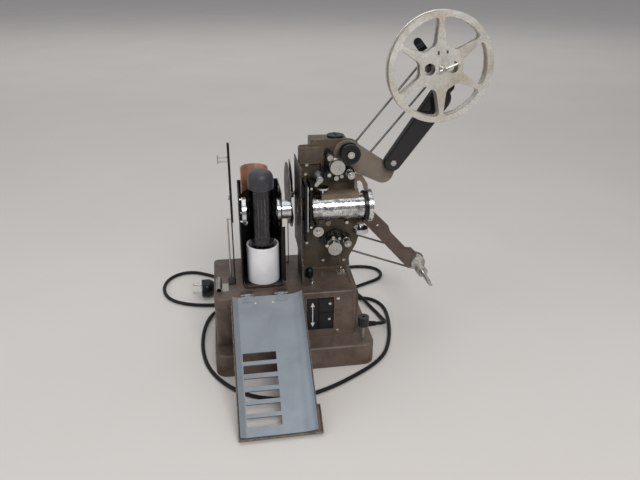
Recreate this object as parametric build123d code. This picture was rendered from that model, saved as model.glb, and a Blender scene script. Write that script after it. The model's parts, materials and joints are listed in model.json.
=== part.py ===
from build123d import *
import math
import os

# Sixteen-millimetre film projector, in millimetres. The origin is at the middle of the base's
# footprint, on the surface it stands on: +X is the way the film is projected, -Y is the side
# that the film is threaded from, and +Z is up.

# Driving dimensions
BASE_LENGTH = 284.0
BASE_WIDTH = 194.0
PLINTH_HEIGHT = 43.0
BASE_TOP = 137.0
BASE_WALL = 4.0
BLOCK_LEFT = -138.0
BLOCK_RIGHT = 112.0
BLOCK_FRONT = -62.0
BLOCK_BACK = 92.0
OPTICAL_Y = 5.0
OPTICAL_Z = 270.5
PLATE_FRONT = 32.0
PLATE_BACK = 36.0
HOUSING_LEFT = 42.0
HOUSING_RIGHT = 98.0
HOUSING_BACK = 66.0
HEAD_TOP = 385.0
DOOR_AXIS_Y = -62.0
DOOR_AXIS_Z = 142.0
DOOR_TILT = 34.65
DOOR_LENGTH = 240.0
DOOR_LEFT = -110.0
DOOR_RIGHT = 19.0
LAMP_X = -48.0
FRAME_LEFT = -87.0
FRAME_TOP = 308.0
HOOD_X = -57.0
HINGES = (-81, -23)
REEL_RADIUS = 89.0
REEL_X = 251.2
REEL_Z = 507.0
REEL_FRONT = -5.3
REEL_BACK = 13.2
ELBOW_X = 186.5
ELBOW_Z = 343.0
TAKEUP_X = 262.0
TAKEUP_Z = 115.0
UPPER_SPROCKET = (82.8, 346.0)
LOWER_SPROCKET = (81.6, 193.2)
SPROCKET_RADIUS = 11.9
SHUTTER_Y = 57.0
SHUTTER_Z = 281.0
FEED_ROLLER = (105.4, 367.4)
GATE_KNOB = (52.4, 325.0)
SUPPLY_DRIVE = (117.4, 343.4)
TAKEUP_DRIVE = (90.0, 180.6)
PLATE_SCREWS = ((35, 341), (33, 324), (66, 152), (25, 155), (106, 150))
WORM_X = 61.0
FIT = 0.05
CORD_DIAMETER = 7.0
BELT_RADIUS = 2.0


def block(x0, x1, y0, y1, z0, z1):
    """A box between two corners."""
    return Pos((x0 + x1) / 2, (y0 + y1) / 2, (z0 + z1) / 2) * Box(x1 - x0, y1 - y0, z1 - z0)


def rod_x(radius, x0, x1, y, z):
    """A cylinder along X."""
    return Pos((x0 + x1) / 2, y, z) * Rot(0, 90, 0) * Cylinder(radius, x1 - x0)


def rod_y(radius, x, z, y0, y1):
    """A cylinder along Y."""
    return Pos(x, (y0 + y1) / 2, z) * Rot(90, 0, 0) * Cylinder(radius, y1 - y0)


def rod_z(radius, x, y, z0, z1):
    """A cylinder along Z."""
    return Pos(x, y, (z0 + z1) / 2) * Cylinder(radius, z1 - z0)


def tube_x(outer, inner, x0, x1, y, z):
    """A tube along X."""
    return rod_x(outer, x0, x1, y, z) - rod_x(inner, x0 - 1, x1 + 1, y, z)


def ring_y(outer, inner, x, z, y0, y1):
    """A ring whose axis is along Y."""
    return rod_y(outer, x, z, y0, y1) - rod_y(inner, x, z, y0 - 1, y1 + 1)


def plate_xz(points, y0, y1):
    """A flat plate whose outline is given in X and Z."""
    outline = make_face(Plane.XZ * Polyline(*points, close=True))
    return Pos(0, y1, 0) * extrude(outline, y1 - y0, dir=(0, -1, 0))


def link_xz(ends, radii, y0, y1):
    """A plate with a round end about each of two points, and straight sides tangent to both."""
    (ax, az), (bx, bz) = ends
    ra, rb = radii
    length = math.hypot(bx - ax, bz - az)
    heading = math.atan2(bz - az, bx - ax)
    lean = math.acos((ra - rb) / length)
    sides = []
    for (x, z), r in (((ax, az), ra), ((bx, bz), rb)):
        for sign in (1, -1):
            angle = heading + sign * lean
            sides.append((x + r * math.cos(angle), z + r * math.sin(angle)))
    body = plate_xz([sides[0], sides[1], sides[3], sides[2]], y0, y1)
    return body + rod_y(ra, ax, az, y0, y1) + rod_y(rb, bx, bz, y0, y1)


def around(count, radius, x, z, start=0.0):
    """Points evenly spaced on a circle in the XZ plane."""
    turns = [math.radians(start + 360.0 * i / count) for i in range(count)]
    return [(x + radius * math.cos(t), z + radius * math.sin(t)) for t in turns]


def save(shape, name):
    """Write one node, which is one piece or a list of pieces."""
    pieces = shape if isinstance(shape, list) else [shape]
    solids = [solid for piece in pieces for solid in piece.solids()]
    export_step(Compound(children=solids), os.path.join("parts", name + ".step"))


# Base

def base_casting():
    """Plinth and block in one casting, open below, with the panel window in its front."""
    plinth = extrude(RectangleRounded(BASE_LENGTH, BASE_WIDTH, 20), PLINTH_HEIGHT)
    plinth = fillet(plinth.edges().group_by(Axis.Z)[-1], 4)
    middle_x = (BLOCK_LEFT + BLOCK_RIGHT) / 2
    middle_y = (BLOCK_FRONT + BLOCK_BACK) / 2
    width = BLOCK_RIGHT - BLOCK_LEFT
    depth = BLOCK_BACK - BLOCK_FRONT
    upper = extrude(RectangleRounded(width, depth, 9), BASE_TOP)
    upper = Pos(middle_x, middle_y, 0) * fillet(upper.edges().group_by(Axis.Z)[-1], 3)
    buttress = plate_xz([(105, 20), (138, 20), (136, 80), (119, 130), (105, 132)], 26, 70)
    shell = plinth + upper + buttress
    inside = Pos(0, 0, -1) * extrude(
        RectangleRounded(BASE_LENGTH - 2 * BASE_WALL, BASE_WIDTH - 2 * BASE_WALL, 16),
        PLINTH_HEIGHT - BASE_WALL + 1,
    )
    hollow = extrude(RectangleRounded(width - 2 * BASE_WALL, depth - 2 * BASE_WALL, 5),
                     BASE_TOP - BASE_WALL + 1)
    shell -= inside + Pos(middle_x, middle_y, -1) * hollow
    shell -= block(22, 71, BLOCK_FRONT - 1, BLOCK_FRONT + BASE_WALL + 1, 58, 126)
    shell -= block(20, 106, -38, PLATE_FRONT - 3, BASE_TOP - 1.5, BASE_TOP + 1)
    shell -= rod_z(2.6, 123, -74, 30, 50)
    for x, z in ((78, 123), (78, 57)):
        shell -= rod_y(1.6, x, z, BLOCK_FRONT - 1, BLOCK_FRONT + 3)
    shell -= rod_z(2 + FIT, 37, -25, 120, 150)
    return shell


def bottom_cover():
    """The sheet that closes the base from below, level with its rim."""
    sheet = extrude(RectangleRounded(BASE_LENGTH - 2 * BASE_WALL - 1, BASE_WIDTH - 2 * BASE_WALL - 1,
                                     15), 1.5)
    for x in (-90, -75, -60, -45, -30):
        sheet -= block(x - 3, x + 3, -50, 20, -1, 5)
    return sheet - rod_z(4, 123, -74, -1, 5)


def connector_panel():
    """The dark recessed panel behind the window, with its two contact strips."""
    panel = block(17, 76, -58, -55.5, 52, 132)
    panel += block(44, 45.5, -61, -58, 60, 124)
    panel += block(46, 70, -59.5, -58, 62, 92) + block(46, 70, -59.5, -58, 96, 122)
    for x, z in ((64, 112), (63, 80)):
        panel -= rod_y(1.6, x, z, -62, -55)
    return panel


def screw_y(x, z, face, radius=3.0, length=5.0):
    """A slotted round-head screw whose head stands out towards -Y."""
    head = rod_y(radius, x, z, face - 1.8, face)
    head -= block(x - radius, x + radius, face - 2, face - 1.1, z - 0.4, z + 0.4)
    return head + rod_y(1.5, x, z, face, face + length)


def tilt_screw():
    """The ribbed knob and its threaded rod, which lifts the front of the projector."""
    knob = rod_z(10, 123, -74, 70, 88) - rod_z(3, 123, -74, 86.5, 89)
    for x, y in around(14, 10.6, 123, -74):
        knob -= rod_z(1.5, x, y, 69, 89)
    stem = rod_z(2.5, 123, -74, 8, 70)
    return knob + stem + rod_z(3.4, 123, -74, 4.2, 8)


# Lamp house

def lamphouse_frame():
    """Folded black sheet: two walls, a back and a floor, open in front and above."""
    left, right, front, back, low, high = FRAME_LEFT, -14.0, -14.0, 62.0, 139.0, FRAME_TOP
    sheet = block(left, left + 2, front, back, low, high)
    sheet += block(right - 2, right, front, back, low, high)
    sheet += block(left, right, back - 2, back, low, high)
    sheet += block(left, right, front, back, BASE_TOP, low)
    sheet -= rod_x(17, left - 1, left + 3, OPTICAL_Y, OPTICAL_Z)
    sheet -= rod_x(16.6, right - 3, right + 1, OPTICAL_Y, OPTICAL_Z)
    sheet += block(right, right + 5, front, front + 2, low, 245)
    return sheet


def lamp_socket():
    """The white porcelain well that the lamp stands in."""
    well = rod_z(29, LAMP_X, OPTICAL_Y, 139, 208)
    well -= rod_z(25, LAMP_X, OPTICAL_Y, 160, 209)
    well -= rod_z(9, LAMP_X, OPTICAL_Y, 138, 161)
    well = fillet(well.edges().group_by(Axis.Z)[-1], 1.5)
    return well


def lamp_base():
    """The lamp's brass cap, held in the well."""
    cap = rod_z(18, LAMP_X, OPTICAL_Y, 160, 190) - rod_z(17, LAMP_X, OPTICAL_Y, 163, 191)
    return cap + rod_z(8.9, LAMP_X, OPTICAL_Y, 145, 160)


def lamp_envelope():
    """The lamp's glass tube."""
    glass = rod_z(21, LAMP_X, OPTICAL_Y, 190, 318) - rod_z(19.8, LAMP_X, OPTICAL_Y, 189, 319)
    return glass


def lamp_crown():
    """The heat-blackened top of the lamp, a dome on a short skirt."""
    outer = rod_z(22, LAMP_X, OPTICAL_Y, 318, 322)
    outer += Pos(LAMP_X, OPTICAL_Y, 322) * (Sphere(22) & Pos(0, 0, 11) * Box(50, 50, 22))
    inner = rod_z(20.5, LAMP_X, OPTICAL_Y, 317, 322) + Pos(LAMP_X, OPTICAL_Y, 322) * Sphere(20.5)
    return outer - inner


def lamp_filament():
    """Support rods and the coiled filament's flat grid, on the optical axis."""
    post = rod_z(1.2, LAMP_X, OPTICAL_Y - 7, 163, 262) + rod_z(1.2, LAMP_X, OPTICAL_Y + 7, 163, 262)
    grid = block(LAMP_X - 1, LAMP_X + 1, OPTICAL_Y - 8, OPTICAL_Y + 8, 262, 278)
    for step in (-5, -2.5, 0, 2.5, 5):
        grid -= block(LAMP_X - 2, LAMP_X + 2, OPTICAL_Y + step - 0.5, OPTICAL_Y + step + 0.5, 263, 277)
    return post + grid + block(LAMP_X - 1, LAMP_X + 1, OPTICAL_Y - 8, OPTICAL_Y + 8, 163, 165)


def rear_mirror():
    """The concave mirror behind the lamp."""
    dish = rod_x(21.5, -80, -75, OPTICAL_Y, OPTICAL_Z)
    return dish - Pos(-40, OPTICAL_Y, OPTICAL_Z) * Sphere(39)


def mirror_holder():
    """The ring and three posts that hold the mirror off the left wall."""
    ring = tube_x(25, 21.55, -80, -75, OPTICAL_Y, OPTICAL_Z)
    ring += tube_x(25, 18, -81.6, -80, OPTICAL_Y, OPTICAL_Z)
    for turn in (90, 210, 330):
        y = OPTICAL_Y + 22 * math.cos(math.radians(turn))
        z = OPTICAL_Z + 22 * math.sin(math.radians(turn))
        ring += rod_x(1.8, FRAME_LEFT + 2, -81.6, y, z)
    return ring


def condenser_tube():
    """The bright tube that carries the condenser lenses through the right wall."""
    tube = tube_x(16.5, 15.1, -21, 2, OPTICAL_Y, OPTICAL_Z)
    return tube + tube_x(20, 16.5, -21, -16, OPTICAL_Y, OPTICAL_Z)


def bulged_lens(radius, x, thick, curve, y=OPTICAL_Y, z=OPTICAL_Z):
    """A round lens on the optical axis, flat behind and bulged towards -X."""
    ball = Pos(x + curve, y, z) * Sphere(curve)
    return ball & rod_x(radius, x, x + thick, y, z)


def condenser_lenses():
    """Two lenses back to back inside the condenser tube."""
    return [bulged_lens(15, -19.5, 8, 32), bulged_lens(15, -9.5, 8, 32)]


def rear_hood():
    """The copper-coloured curved deflector behind the lamp, above the back wall."""
    hood = rod_z(23.9, HOOD_X, 36, 292, 339) - rod_z(22.6, HOOD_X, 36, 291, 340)
    hood -= block(-99, 0, 0, 34, 280, 360)
    return hood + block(HOOD_X - 5, HOOD_X + 5, 58.9, 60, 294, 306)


def latch_strip():
    """The tall thin strip at the left that the closed door latches to, with its foot."""
    strip = block(-101.2, -99, -6, 6, 150, 257) + block(-101.2, -97.2, -6, 6, 255, 393)
    strip -= block(-102, -96, -8, 0, 388, 395)
    foot = block(-112, -99, -12, 12, BASE_TOP, 139) + block(-101.2, -99, -12, 12, 139, 150)
    return strip + foot


def latch_pin():
    """The headed cross pin near the top of the strip, and the small knob below it."""
    upper = rod_x(1.3, -116, -101.2, 0, 370) + rod_x(1.3, -116, -101.2, 0, 363)
    upper += block(-118, -116, -3, 3, 360, 373)
    return [upper, rod_x(3.5, -104, -101.2, 0, 299)]


def link_rod():
    """The bent bright rod beside the strip, that lifts the lamp tray."""
    rod = rod_z(1.4, -107, -8, 139, 262) + rod_x(1.4, -107, -101.2, -4.6, 262)
    rod += rod_y(1.4, -107, 262, -9.4, -3.2)
    return rod


def catch_socket():
    """The tubular catch on the left end of the base, with its flat foot."""
    barrel = rod_y(5.5, -129, 142.5, -40, 0) - rod_y(3.8, -129, 142.5, -41, -10)
    return barrel + block(-133, -112.5, -36, -8, BASE_TOP, 138.2) - rod_y(3.8, -129, 142.5, -41, -10)


def heat_wall():
    """The bright-edged partition between the lamp house and the film side."""
    wall = block(16.8, 18.4, -22, 64, 190, 352) + block(18, 19.6, -36, 30, BASE_TOP, 180)
    slope = plate_xz([(16.8, 190), (18.4, 190), (19.6, 180), (18, 180)], -30, 30)
    front = block(16.8, 18.4, -30, -22, 190, 300)
    wall = wall + slope + front
    wall -= rod_x(5, 10, 25, SHUTTER_Y, SHUTTER_Z)
    return wall - rod_x(19, 10, 25, OPTICAL_Y, OPTICAL_Z)


def lamp_tray():
    """The shallow dark tray in front of the porcelain well."""
    tray = Pos(-50, -16, 0) * (extrude(RectangleRounded(70, 34, 9), 143)
                               - Pos(0, 0, 138.4) * extrude(RectangleRounded(67, 31, 7.5), 10))
    return tray & block(-90, -10, -40, -14.3, BASE_TOP, 145)


# Door

def on_door(shape):
    """Place a piece drawn lying flat, with the door running along -Y from its hinge line."""
    return Pos(0, DOOR_AXIS_Y, DOOR_AXIS_Z) * Rot(DOOR_TILT, 0, 0) * shape


def vents():
    """Six ventilation slots in the left half of the door."""
    return [block(-96, -41.5, -s - 14, -s, -20, 10) for s in (103.5, 124, 145.5, 166.5, 187.5, 208)]


def door_cover():
    """The outer cover with its shallow rim, slotted like the shield."""
    low = -5.0
    cover = block(DOOR_LEFT, 15, -DOOR_LENGTH, -4, low, low + 1.2)
    cover += block(15, DOOR_RIGHT + 1.5, -DOOR_LENGTH, -197, low, low + 1.2)
    cover += block(13.8, 15, -197, -4, low, 3)
    cover += block(DOOR_RIGHT + 0.3, DOOR_RIGHT + 1.5, -DOOR_LENGTH, -197, low, 3)
    cover += block(13.8, DOOR_RIGHT + 1.5, -198.2, -197, low, 3)
    cover += block(DOOR_LEFT, DOOR_RIGHT + 1.5, -DOOR_LENGTH - 1.2, -DOOR_LENGTH, low, 2)
    cover += block(DOOR_LEFT, DOOR_LEFT + 1.2, -DOOR_LENGTH, -4, low, 2)
    for slot in vents():
        cover -= slot
    return on_door(cover)


def door_shield():
    """The inner heat shield: a flat sheet with a raised left side and a round right side."""
    back, front = -DOOR_LENGTH + 3, -3
    sheet = block(-98, -12, back, front, -1, 0)
    sheet += plate_xz([(-98, -1), (-98, 0), (-106.6, 5.4), (-107.2, 4.6)], back, front)
    curl = rod_y(29, -12, 28, back, front) - rod_y(28, -12, 28, back - 1, front + 1)
    sheet += curl & plate_xz([(-12, 28), (-12, -2), (15, -2), (20.8, 5.1)], back, front)
    for slot in vents():
        sheet -= slot
    return on_door(sheet)


def door_struts():
    """Spacers between the shield and the cover."""
    spots = ((-92, -60), (-92, -230), (-18, -230), (-18, -60), (-60, -95), (-20, -160))
    return [on_door(rod_z(3, x, y, -3.8, -1)) for x, y in spots]


def door_hinge_leaves():
    """The two leaves that are fixed on the door, each with its middle knuckle."""
    leaves = []
    for x in HINGES:
        leaf = block(x - 10, x + 10, -14, -2.8, 0, 1.0)
        leaf += block(x - 4.8, x + 4.8, -2.9, -1.2, -0.6, 1.0) + rod_x(2.4, x - 4.8, x + 4.8, 0, 0)
        leaves.append(on_door(leaf - rod_x(1.25, x - 12, x + 12, 0, 0)))
    return leaves


def base_hinge_leaves():
    """The two leaves on top of the base, each with its pair of outer knuckles."""
    leaves = []
    for x in HINGES:
        leaf = block(x - 12, x + 12, -56, -40, BASE_TOP, BASE_TOP + 1.2)
        for left, right in ((x - 12, x - 5.2), (x + 5.2, x + 12)):
            knuckle = rod_x(2.4, left, right, DOOR_AXIS_Y, DOOR_AXIS_Z)
            arm = block(left, right, -60.4, -56, DOOR_AXIS_Z - 1.2, DOOR_AXIS_Z + 0.2)
            arm += block(left, right, -57.4, -56, BASE_TOP, DOOR_AXIS_Z + 0.2)
            leaf += knuckle + arm
        leaves.append(leaf - rod_x(1.2, x - 13, x + 13, DOOR_AXIS_Y, DOOR_AXIS_Z))
    return leaves


def door_hinge_pins():
    """One pin through each hinge."""
    return [rod_x(1.2, x - 12, x + 12, DOOR_AXIS_Y, DOOR_AXIS_Z) for x in HINGES]


def door_rivets():
    """The two bright rivets beside the hinge leaves."""
    return [on_door(rod_z(1.8, x, -16.5, 0, 1.2)) for x in (-68.5, -38.5)]


# Projector head

def head_plate():
    """The front plate of the head, which carries the film path."""
    outline = Plane.XZ * (
        Polyline((20, BASE_TOP), (20, 373), (23, 376), (44, 377), (47, HEAD_TOP), (108, HEAD_TOP))
        + ThreePointArc((108, HEAD_TOP), (124, 378), (131, 362))
        + Polyline((131, 362), (127, 345), (121, 331), (122, 300), (136, 236), (135, 205), (129, 182),
                   (117, 158), (116, 150), (118, BASE_TOP), (20, BASE_TOP))
    )
    plate = Pos(0, PLATE_BACK, 0) * extrude(make_face(outline), PLATE_BACK - PLATE_FRONT,
                                            dir=(0, -1, 0))
    for (x, z) in (UPPER_SPROCKET, LOWER_SPROCKET):
        plate -= rod_y(3.5 + FIT, x, z, 30, 38)
    plate -= rod_y(3 + FIT, *SUPPLY_DRIVE, 30, 38)
    plate -= rod_y(2.5 + FIT, *GATE_KNOB, 30, 38)
    plate -= rod_y(2.55, ELBOW_X, ELBOW_Z, 30, 38)
    for x, z in PLATE_SCREWS:
        plate -= rod_y(1.55, x, z, 30, 36)
    return plate


def head_housing():
    """The closed box behind the plate that holds the gears, open at the back."""
    top = HEAD_TOP - 1
    box = block(HOUSING_LEFT, HOUSING_RIGHT, PLATE_BACK, HOUSING_BACK, BASE_TOP, top)
    box += block(HOUSING_LEFT, HOUSING_RIGHT + 8.4, PLATE_BACK, HOUSING_BACK, 364, top)
    box -= block(HOUSING_LEFT + 3, HOUSING_RIGHT - 2, PLATE_BACK - 1, HOUSING_BACK + 1,
                 BASE_TOP + 3, top - 3)
    box -= block(HOUSING_LEFT + 3, HOUSING_RIGHT + 6.5, PLATE_BACK - 1, HOUSING_BACK + 1,
                 367, top - 3)
    box -= rod_x(4 + FIT, HOUSING_LEFT - 2, HOUSING_LEFT + 5, SHUTTER_Y, SHUTTER_Z)
    return box - rod_z(12, 88, 51, top - 4, HEAD_TOP)


def housing_back():
    """The removable back cover of the head."""
    top = HEAD_TOP - 1
    cover = block(HOUSING_LEFT, HOUSING_RIGHT, HOUSING_BACK, HOUSING_BACK + 2, BASE_TOP, top)
    cover += block(HOUSING_LEFT, HOUSING_RIGHT + 8.4, HOUSING_BACK, HOUSING_BACK + 2, 364, top)
    return cover - rod_y(3 + FIT, *TAKEUP_DRIVE, 60, 70)


def top_cap():
    """The round black cap that closes the oiling hole on top of the head."""
    cap = rod_z(14.4, 88, 51, HEAD_TOP - 1, HEAD_TOP + 3) + rod_z(11.9, 88, 51, HEAD_TOP - 5, HEAD_TOP)
    return cap - block(86.5, 89.5, 38, 64, HEAD_TOP + 1.6, HEAD_TOP + 4)


def side_cover():
    """The raised cover over the upper left of the plate."""
    cover = block(20, 65.5, 25, PLATE_FRONT, 318, 374)
    cover = fillet(cover.edges().filter_by(Axis.Z).group_by(Axis.Y)[0], 2)
    cover -= rod_y(8.1, 71, 361, 20, 40)
    return cover - block(15, 60, 20, 40, 310, 345)


def sprocket(centre, gear_y):
    """A toothed film drum, its flanged face and its shaft in one piece."""
    x, z = centre
    drum = rod_y(SPROCKET_RADIUS, x, z, -6, 16) - ring_y(SPROCKET_RADIUS + 1, 10.4, x, z, 0, 10)
    drum += rod_y(SPROCKET_RADIUS + 0.9, x, z, -8, -6)
    for px, pz in around(12, SPROCKET_RADIUS, x, z):
        drum += rod_y(0.8, px, pz, 10.6, 12.2)
    drum -= rod_y(4, x, z, -9, -7.2)
    return drum + rod_y(3, x, z, -8, -6.6) + rod_y(3.5, x, z, 16, gear_y)


def gear(x, z, radius, teeth, y0, y1, bore):
    """A spur gear with plain trapezoid teeth."""
    wheel = rod_y(radius - 1.2, x, z, y0, y1)
    for i in range(teeth):
        angle = 360.0 * i / teeth
        tooth = plate_xz([(radius - 1.5, -0.9), (radius + 0.8, -0.45), (radius + 0.8, 0.45),
                          (radius - 1.5, 0.9)], y0, y1)
        wheel += Pos(x, 0, z) * Rot(0, angle, 0) * tooth
    return wheel - rod_y(bore, x, z, y0 - 1, y1 + 1)


def sprocket_gear(centre):
    """The wheel on a sprocket's shaft that the upright shaft's worm turns."""
    return gear(*centre, 11.8, 26, 50, 57, 3.5)


def drive_shaft():
    """The upright shaft in the head, with a worm beside each sprocket's wheel."""
    shaft = rod_z(4, WORM_X, 53.5, BASE_TOP + 3.2, HEAD_TOP - 4.4)
    for centre in (UPPER_SPROCKET, LOWER_SPROCKET):
        low, high = centre[1] - 14, centre[1] + 14
        shaft += rod_z(6.2, WORM_X, 53.5, low, high)
        for i in range(9):
            shaft += rod_z(7.2, WORM_X, 53.5, low + 1 + 3 * i, low + 2.2 + 3 * i)
    return shaft


def roller_y(x, z, radius, y0, y1, waist, hub):
    """A film roller, waisted so that it touches only the film's edges."""
    body = rod_y(radius, x, z, y0, y1) - ring_y(radius + 1, waist, x, z, y0 + 4, y1 - 4)
    return body - rod_y(hub, x, z, y0 - 1, y1 + 1)


def feed_roller():
    """The large black guide roller beside the upper sprocket."""
    roller = rod_y(17.0, *FEED_ROLLER, -6, 14) - ring_y(20, 15.4, *FEED_ROLLER, 0, 9)
    roller -= rod_y(12, *FEED_ROLLER, -7, -4.5)
    return roller - rod_y(4 + FIT, *FEED_ROLLER, -8, 16)


def roller_pin(x, z, radius, y0, y1, head_radius):
    """A fixed post with a flanged outer end that keeps a roller on."""
    post = rod_y(radius, x, z, y0, y1) + rod_y(head_radius, x, z, y0 - 2.4, y0)
    return post - block(x - head_radius, x + head_radius, y0 - 3, y0 - 1.8, z - 0.4, z + 0.4)


def film_posts():
    """The fixed posts of all the rollers, pressed on the plate."""
    return [roller_pin(*FEED_ROLLER, 4, -6.4, PLATE_FRONT, 6),
            roller_pin(68.7, 333, 2, -4.4, 18, 3.4), roller_pin(107.7, 329.6, 2, -4.4, 18, 3.6),
            roller_pin(105.7, 199.8, 2, -4.4, 18, 3.6), roller_pin(66.8, 199.8, 2, -4.4, 18, 3.0),
            roller_pin(50.2, 229.9, 2.5, -11, PLATE_FRONT, 3.4)]


def upper_shoe():
    """The dark curved shoe behind the upper sprocket's rollers."""
    shoe = link_xz(((68, 331), (84, 322)), (11, 8), 18, 24) + link_xz(((84, 322), (108, 328)),
                                                                     (8, 10), 18, 24)
    shoe += rod_y(4, 84, 322, 24, PLATE_FRONT)
    return shoe - rod_y(4.2, *UPPER_SPROCKET, 10, 30)


def lower_shoe():
    """The dark curved shoe above the lower sprocket."""
    shoe = link_xz(((67, 200), (86, 210)), (9, 9.5), 18, 24) + link_xz(((86, 210), (106, 201)),
                                                                     (9.5, 9), 18, 24)
    shoe += rod_y(4, 90, 210, 24, PLATE_FRONT)
    return shoe - rod_y(4.2, *LOWER_SPROCKET, 10, 30)


def shoe_pins():
    """The bright pins and screws on the two shoes and the plate beside them."""
    pins = [rod_y(4.2, 82.8, 324, 2, 18), rod_y(3.2, 92.7, 325.6, 6, 18),
            rod_y(2.6, 91.5, 207.5, 4, 18), rod_y(3, 79.8, 210.5, 2, 18),
            rod_y(3, 105, 237, 8, PLATE_FRONT), rod_y(2.6, 33, 198, 14, PLATE_FRONT)]
    return pins


def plate_stud():
    """The small bright stud above the upper sprocket, on its dark collar."""
    knob = rod_y(5.2, 71, 361, 0, 10)
    for x, z in around(10, 5.5, 71, 361):
        knob -= rod_y(0.6, x, z, -1, 11)
    return knob + rod_y(3, 71, 361, 10, PLATE_FRONT)


def knob_collar():
    """The dark collar round the small knob."""
    return ring_y(8, 3.2, 71, 361, PLATE_FRONT - 5, PLATE_FRONT)


def gate_knob():
    """The grey conical knob that opens the gate, with its small lever."""
    x, z = GATE_KNOB
    knob = Pos(x, 4, z) * Rot(90, 0, 0) * Cone(10.5, 6, 18)
    knob += link_xz(((x, z), (x - 6.6, z - 7.7)), (4, 3), -9, -5)
    return knob + rod_y(2.5, x, z, 13, PLATE_BACK)


def case_screws():
    """The bright screws of the base's window, the head, the gate and the reel arm."""
    screws = [screw_y(x, z, BLOCK_FRONT, 3.0, 3) for x, z in ((78, 123), (78, 57))]
    screws += [screw_y(x, z, -59.5, 2.6, 3.5) for x, z in ((64, 112), (63, 80))]
    screws += [screw_y(x, z, PLATE_FRONT, 3, 3) for x, z in PLATE_SCREWS]
    screws += [screw_y(37.2, z, -10, 2.2, 3) for z in (312, 240)]
    return screws + [elbow_screw()]


def film_gate():
    """The fixed gate: a dark rail with the picture aperture and a polished edge."""
    rail = block(27, 31, -8, PLATE_FRONT, 216, 318)
    rail -= block(26, 32, OPTICAL_Y - 5.2, OPTICAL_Y + 5.2, OPTICAL_Z - 3.8, OPTICAL_Z + 3.8)
    rail += block(22.5, 27, -2, PLATE_FRONT, 222, 250) + block(22.5, 27, -2, PLATE_FRONT, 292, 312)
    rail -= block(30, 32, OPTICAL_Y - 6, OPTICAL_Y + 6, 210, 330)
    return rail


def pressure_plate():
    """The sprung plate that holds the film flat in the gate."""
    plate = block(31.4, 33.4, OPTICAL_Y - 9, OPTICAL_Y + 9, 228, 312)
    plate -= block(30, 35, OPTICAL_Y - 5.2, OPTICAL_Y + 5.2, OPTICAL_Z - 4.5, OPTICAL_Z + 4.5)
    plate += rod_x(1.5, 33.4, 37.2, OPTICAL_Y, 240) + rod_x(1.5, 33.4, 37.2, OPTICAL_Y, 302)
    return plate


def gate_frame():
    """The black frame between gate and lens, which the pressure plate's pins slide in."""
    frame = block(35.4, 39, -10, PLATE_FRONT, 234, 320)
    frame -= rod_x(11, 34, 40, OPTICAL_Y, OPTICAL_Z)
    for z in (240, 302):
        frame -= rod_x(1.5 + FIT, 34, 40, OPTICAL_Y, z)
    for z in (240, 312):
        frame -= rod_y(1.55, 37.2, z, -11, -6.9)
    return frame + block(39, 52, 14, PLATE_FRONT, 304, 316)


def lens_barrel():
    """The bright lens barrel with its front ring, hollow along the optical axis."""
    barrel = rod_x(22.5, 41, 138, OPTICAL_Y, OPTICAL_Z) + rod_x(20, 40, 41, OPTICAL_Y, OPTICAL_Z)
    barrel -= tube_x(25, 22.1, 100, 101, OPTICAL_Y, OPTICAL_Z)
    barrel += rod_x(29, 138, 146, OPTICAL_Y, OPTICAL_Z)
    barrel -= rod_x(17, 39, 140, OPTICAL_Y, OPTICAL_Z) + rod_x(22, 132, 147, OPTICAL_Y, OPTICAL_Z)
    return barrel


def lens_glass():
    """Front and rear lens elements."""
    ball = Pos(116, OPTICAL_Y, OPTICAL_Z) * Rot(0, 90, 0) * Sphere(29)
    front = ball & rod_x(21.9, 134, 142.5, OPTICAL_Y, OPTICAL_Z)
    return [front, bulged_lens(17, 46, 8, 34)]


def lens_saddle():
    """The brown saddle that the barrel slides in: half a tube, above and behind it."""
    outer, inner = 30.0, 22.8
    ring = tube_x(outer, inner, 56, 122, OPTICAL_Y, OPTICAL_Z)
    ring = ring & block(50, 130, OPTICAL_Y - 12, PLATE_FRONT, OPTICAL_Z - 14, OPTICAL_Z + 40)
    ring += block(56, 122, 31, PLATE_FRONT, OPTICAL_Z - 12, OPTICAL_Z + 16)
    ring -= rod_x(inner, 50, 130, OPTICAL_Y, OPTICAL_Z)
    return ring - rod_z(2.05, 58.5, OPTICAL_Y - 6, 290, 305)


def saddle_hook():
    """The bent handle at the saddle's front."""
    path = [(117, 300), (114.5, 306), (114.5, 326), (118, 330), (130, 325), (138, 312), (139, 302),
            (133, 300), (130, 311), (124, 319), (119, 318), (120, 306), (123, 302)]
    return plate_xz(path, 0, 9)


def lens_clamp():
    """The flat-headed clamp screw through the saddle's left end."""
    head = rod_z(10.3, 58.5, OPTICAL_Y - 6, 307, 310.4)
    for x, y in around(24, 10.6, 58.5, OPTICAL_Y - 6):
        head -= rod_z(0.6, x, y, 306, 311)
    return head + rod_z(2, 58.5, OPTICAL_Y - 6, 295.2, 307)


def focus_knob():
    """The dished focusing knob under the lens, on its knurled stem."""
    dish = rod_z(14, 129.6, OPTICAL_Y, 219, 227)
    dish -= Pos(129.6, OPTICAL_Y, 234) * Sphere(14.5)
    return dish + rod_z(5, 129.6, OPTICAL_Y, 219.5, 236) + rod_z(2.5, 129.6, OPTICAL_Y, 236, 240.8)


def focus_bracket():
    """The arm from the plate that carries the focusing knob."""
    arm = block(122, 134.5, OPTICAL_Y - 5, PLATE_FRONT, 236.4, 239.4)
    return arm - rod_z(2.5 + FIT, 129.6, OPTICAL_Y, 230, 245)


def lower_guide():
    """The bright conical guide under the gate."""
    cone = Pos(50.2, 0, 229.9) * Rot(90, 0, 0) * Cone(6, 9.5, 20)
    return cone - rod_y(2.5 + FIT, 50.2, 229.9, -12, 12)


def guide_block():
    """The cast lug that holds the conical guide and the framing stud."""
    lug = block(56, 78, 22, PLATE_FRONT, 232, 250) + block(40, 56, 24, PLATE_FRONT, 236, 250)
    return lug + rod_y(4.5, 70, 239, 4, 22) + rod_y(2.2, 64, 243, 10, 22)


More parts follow.
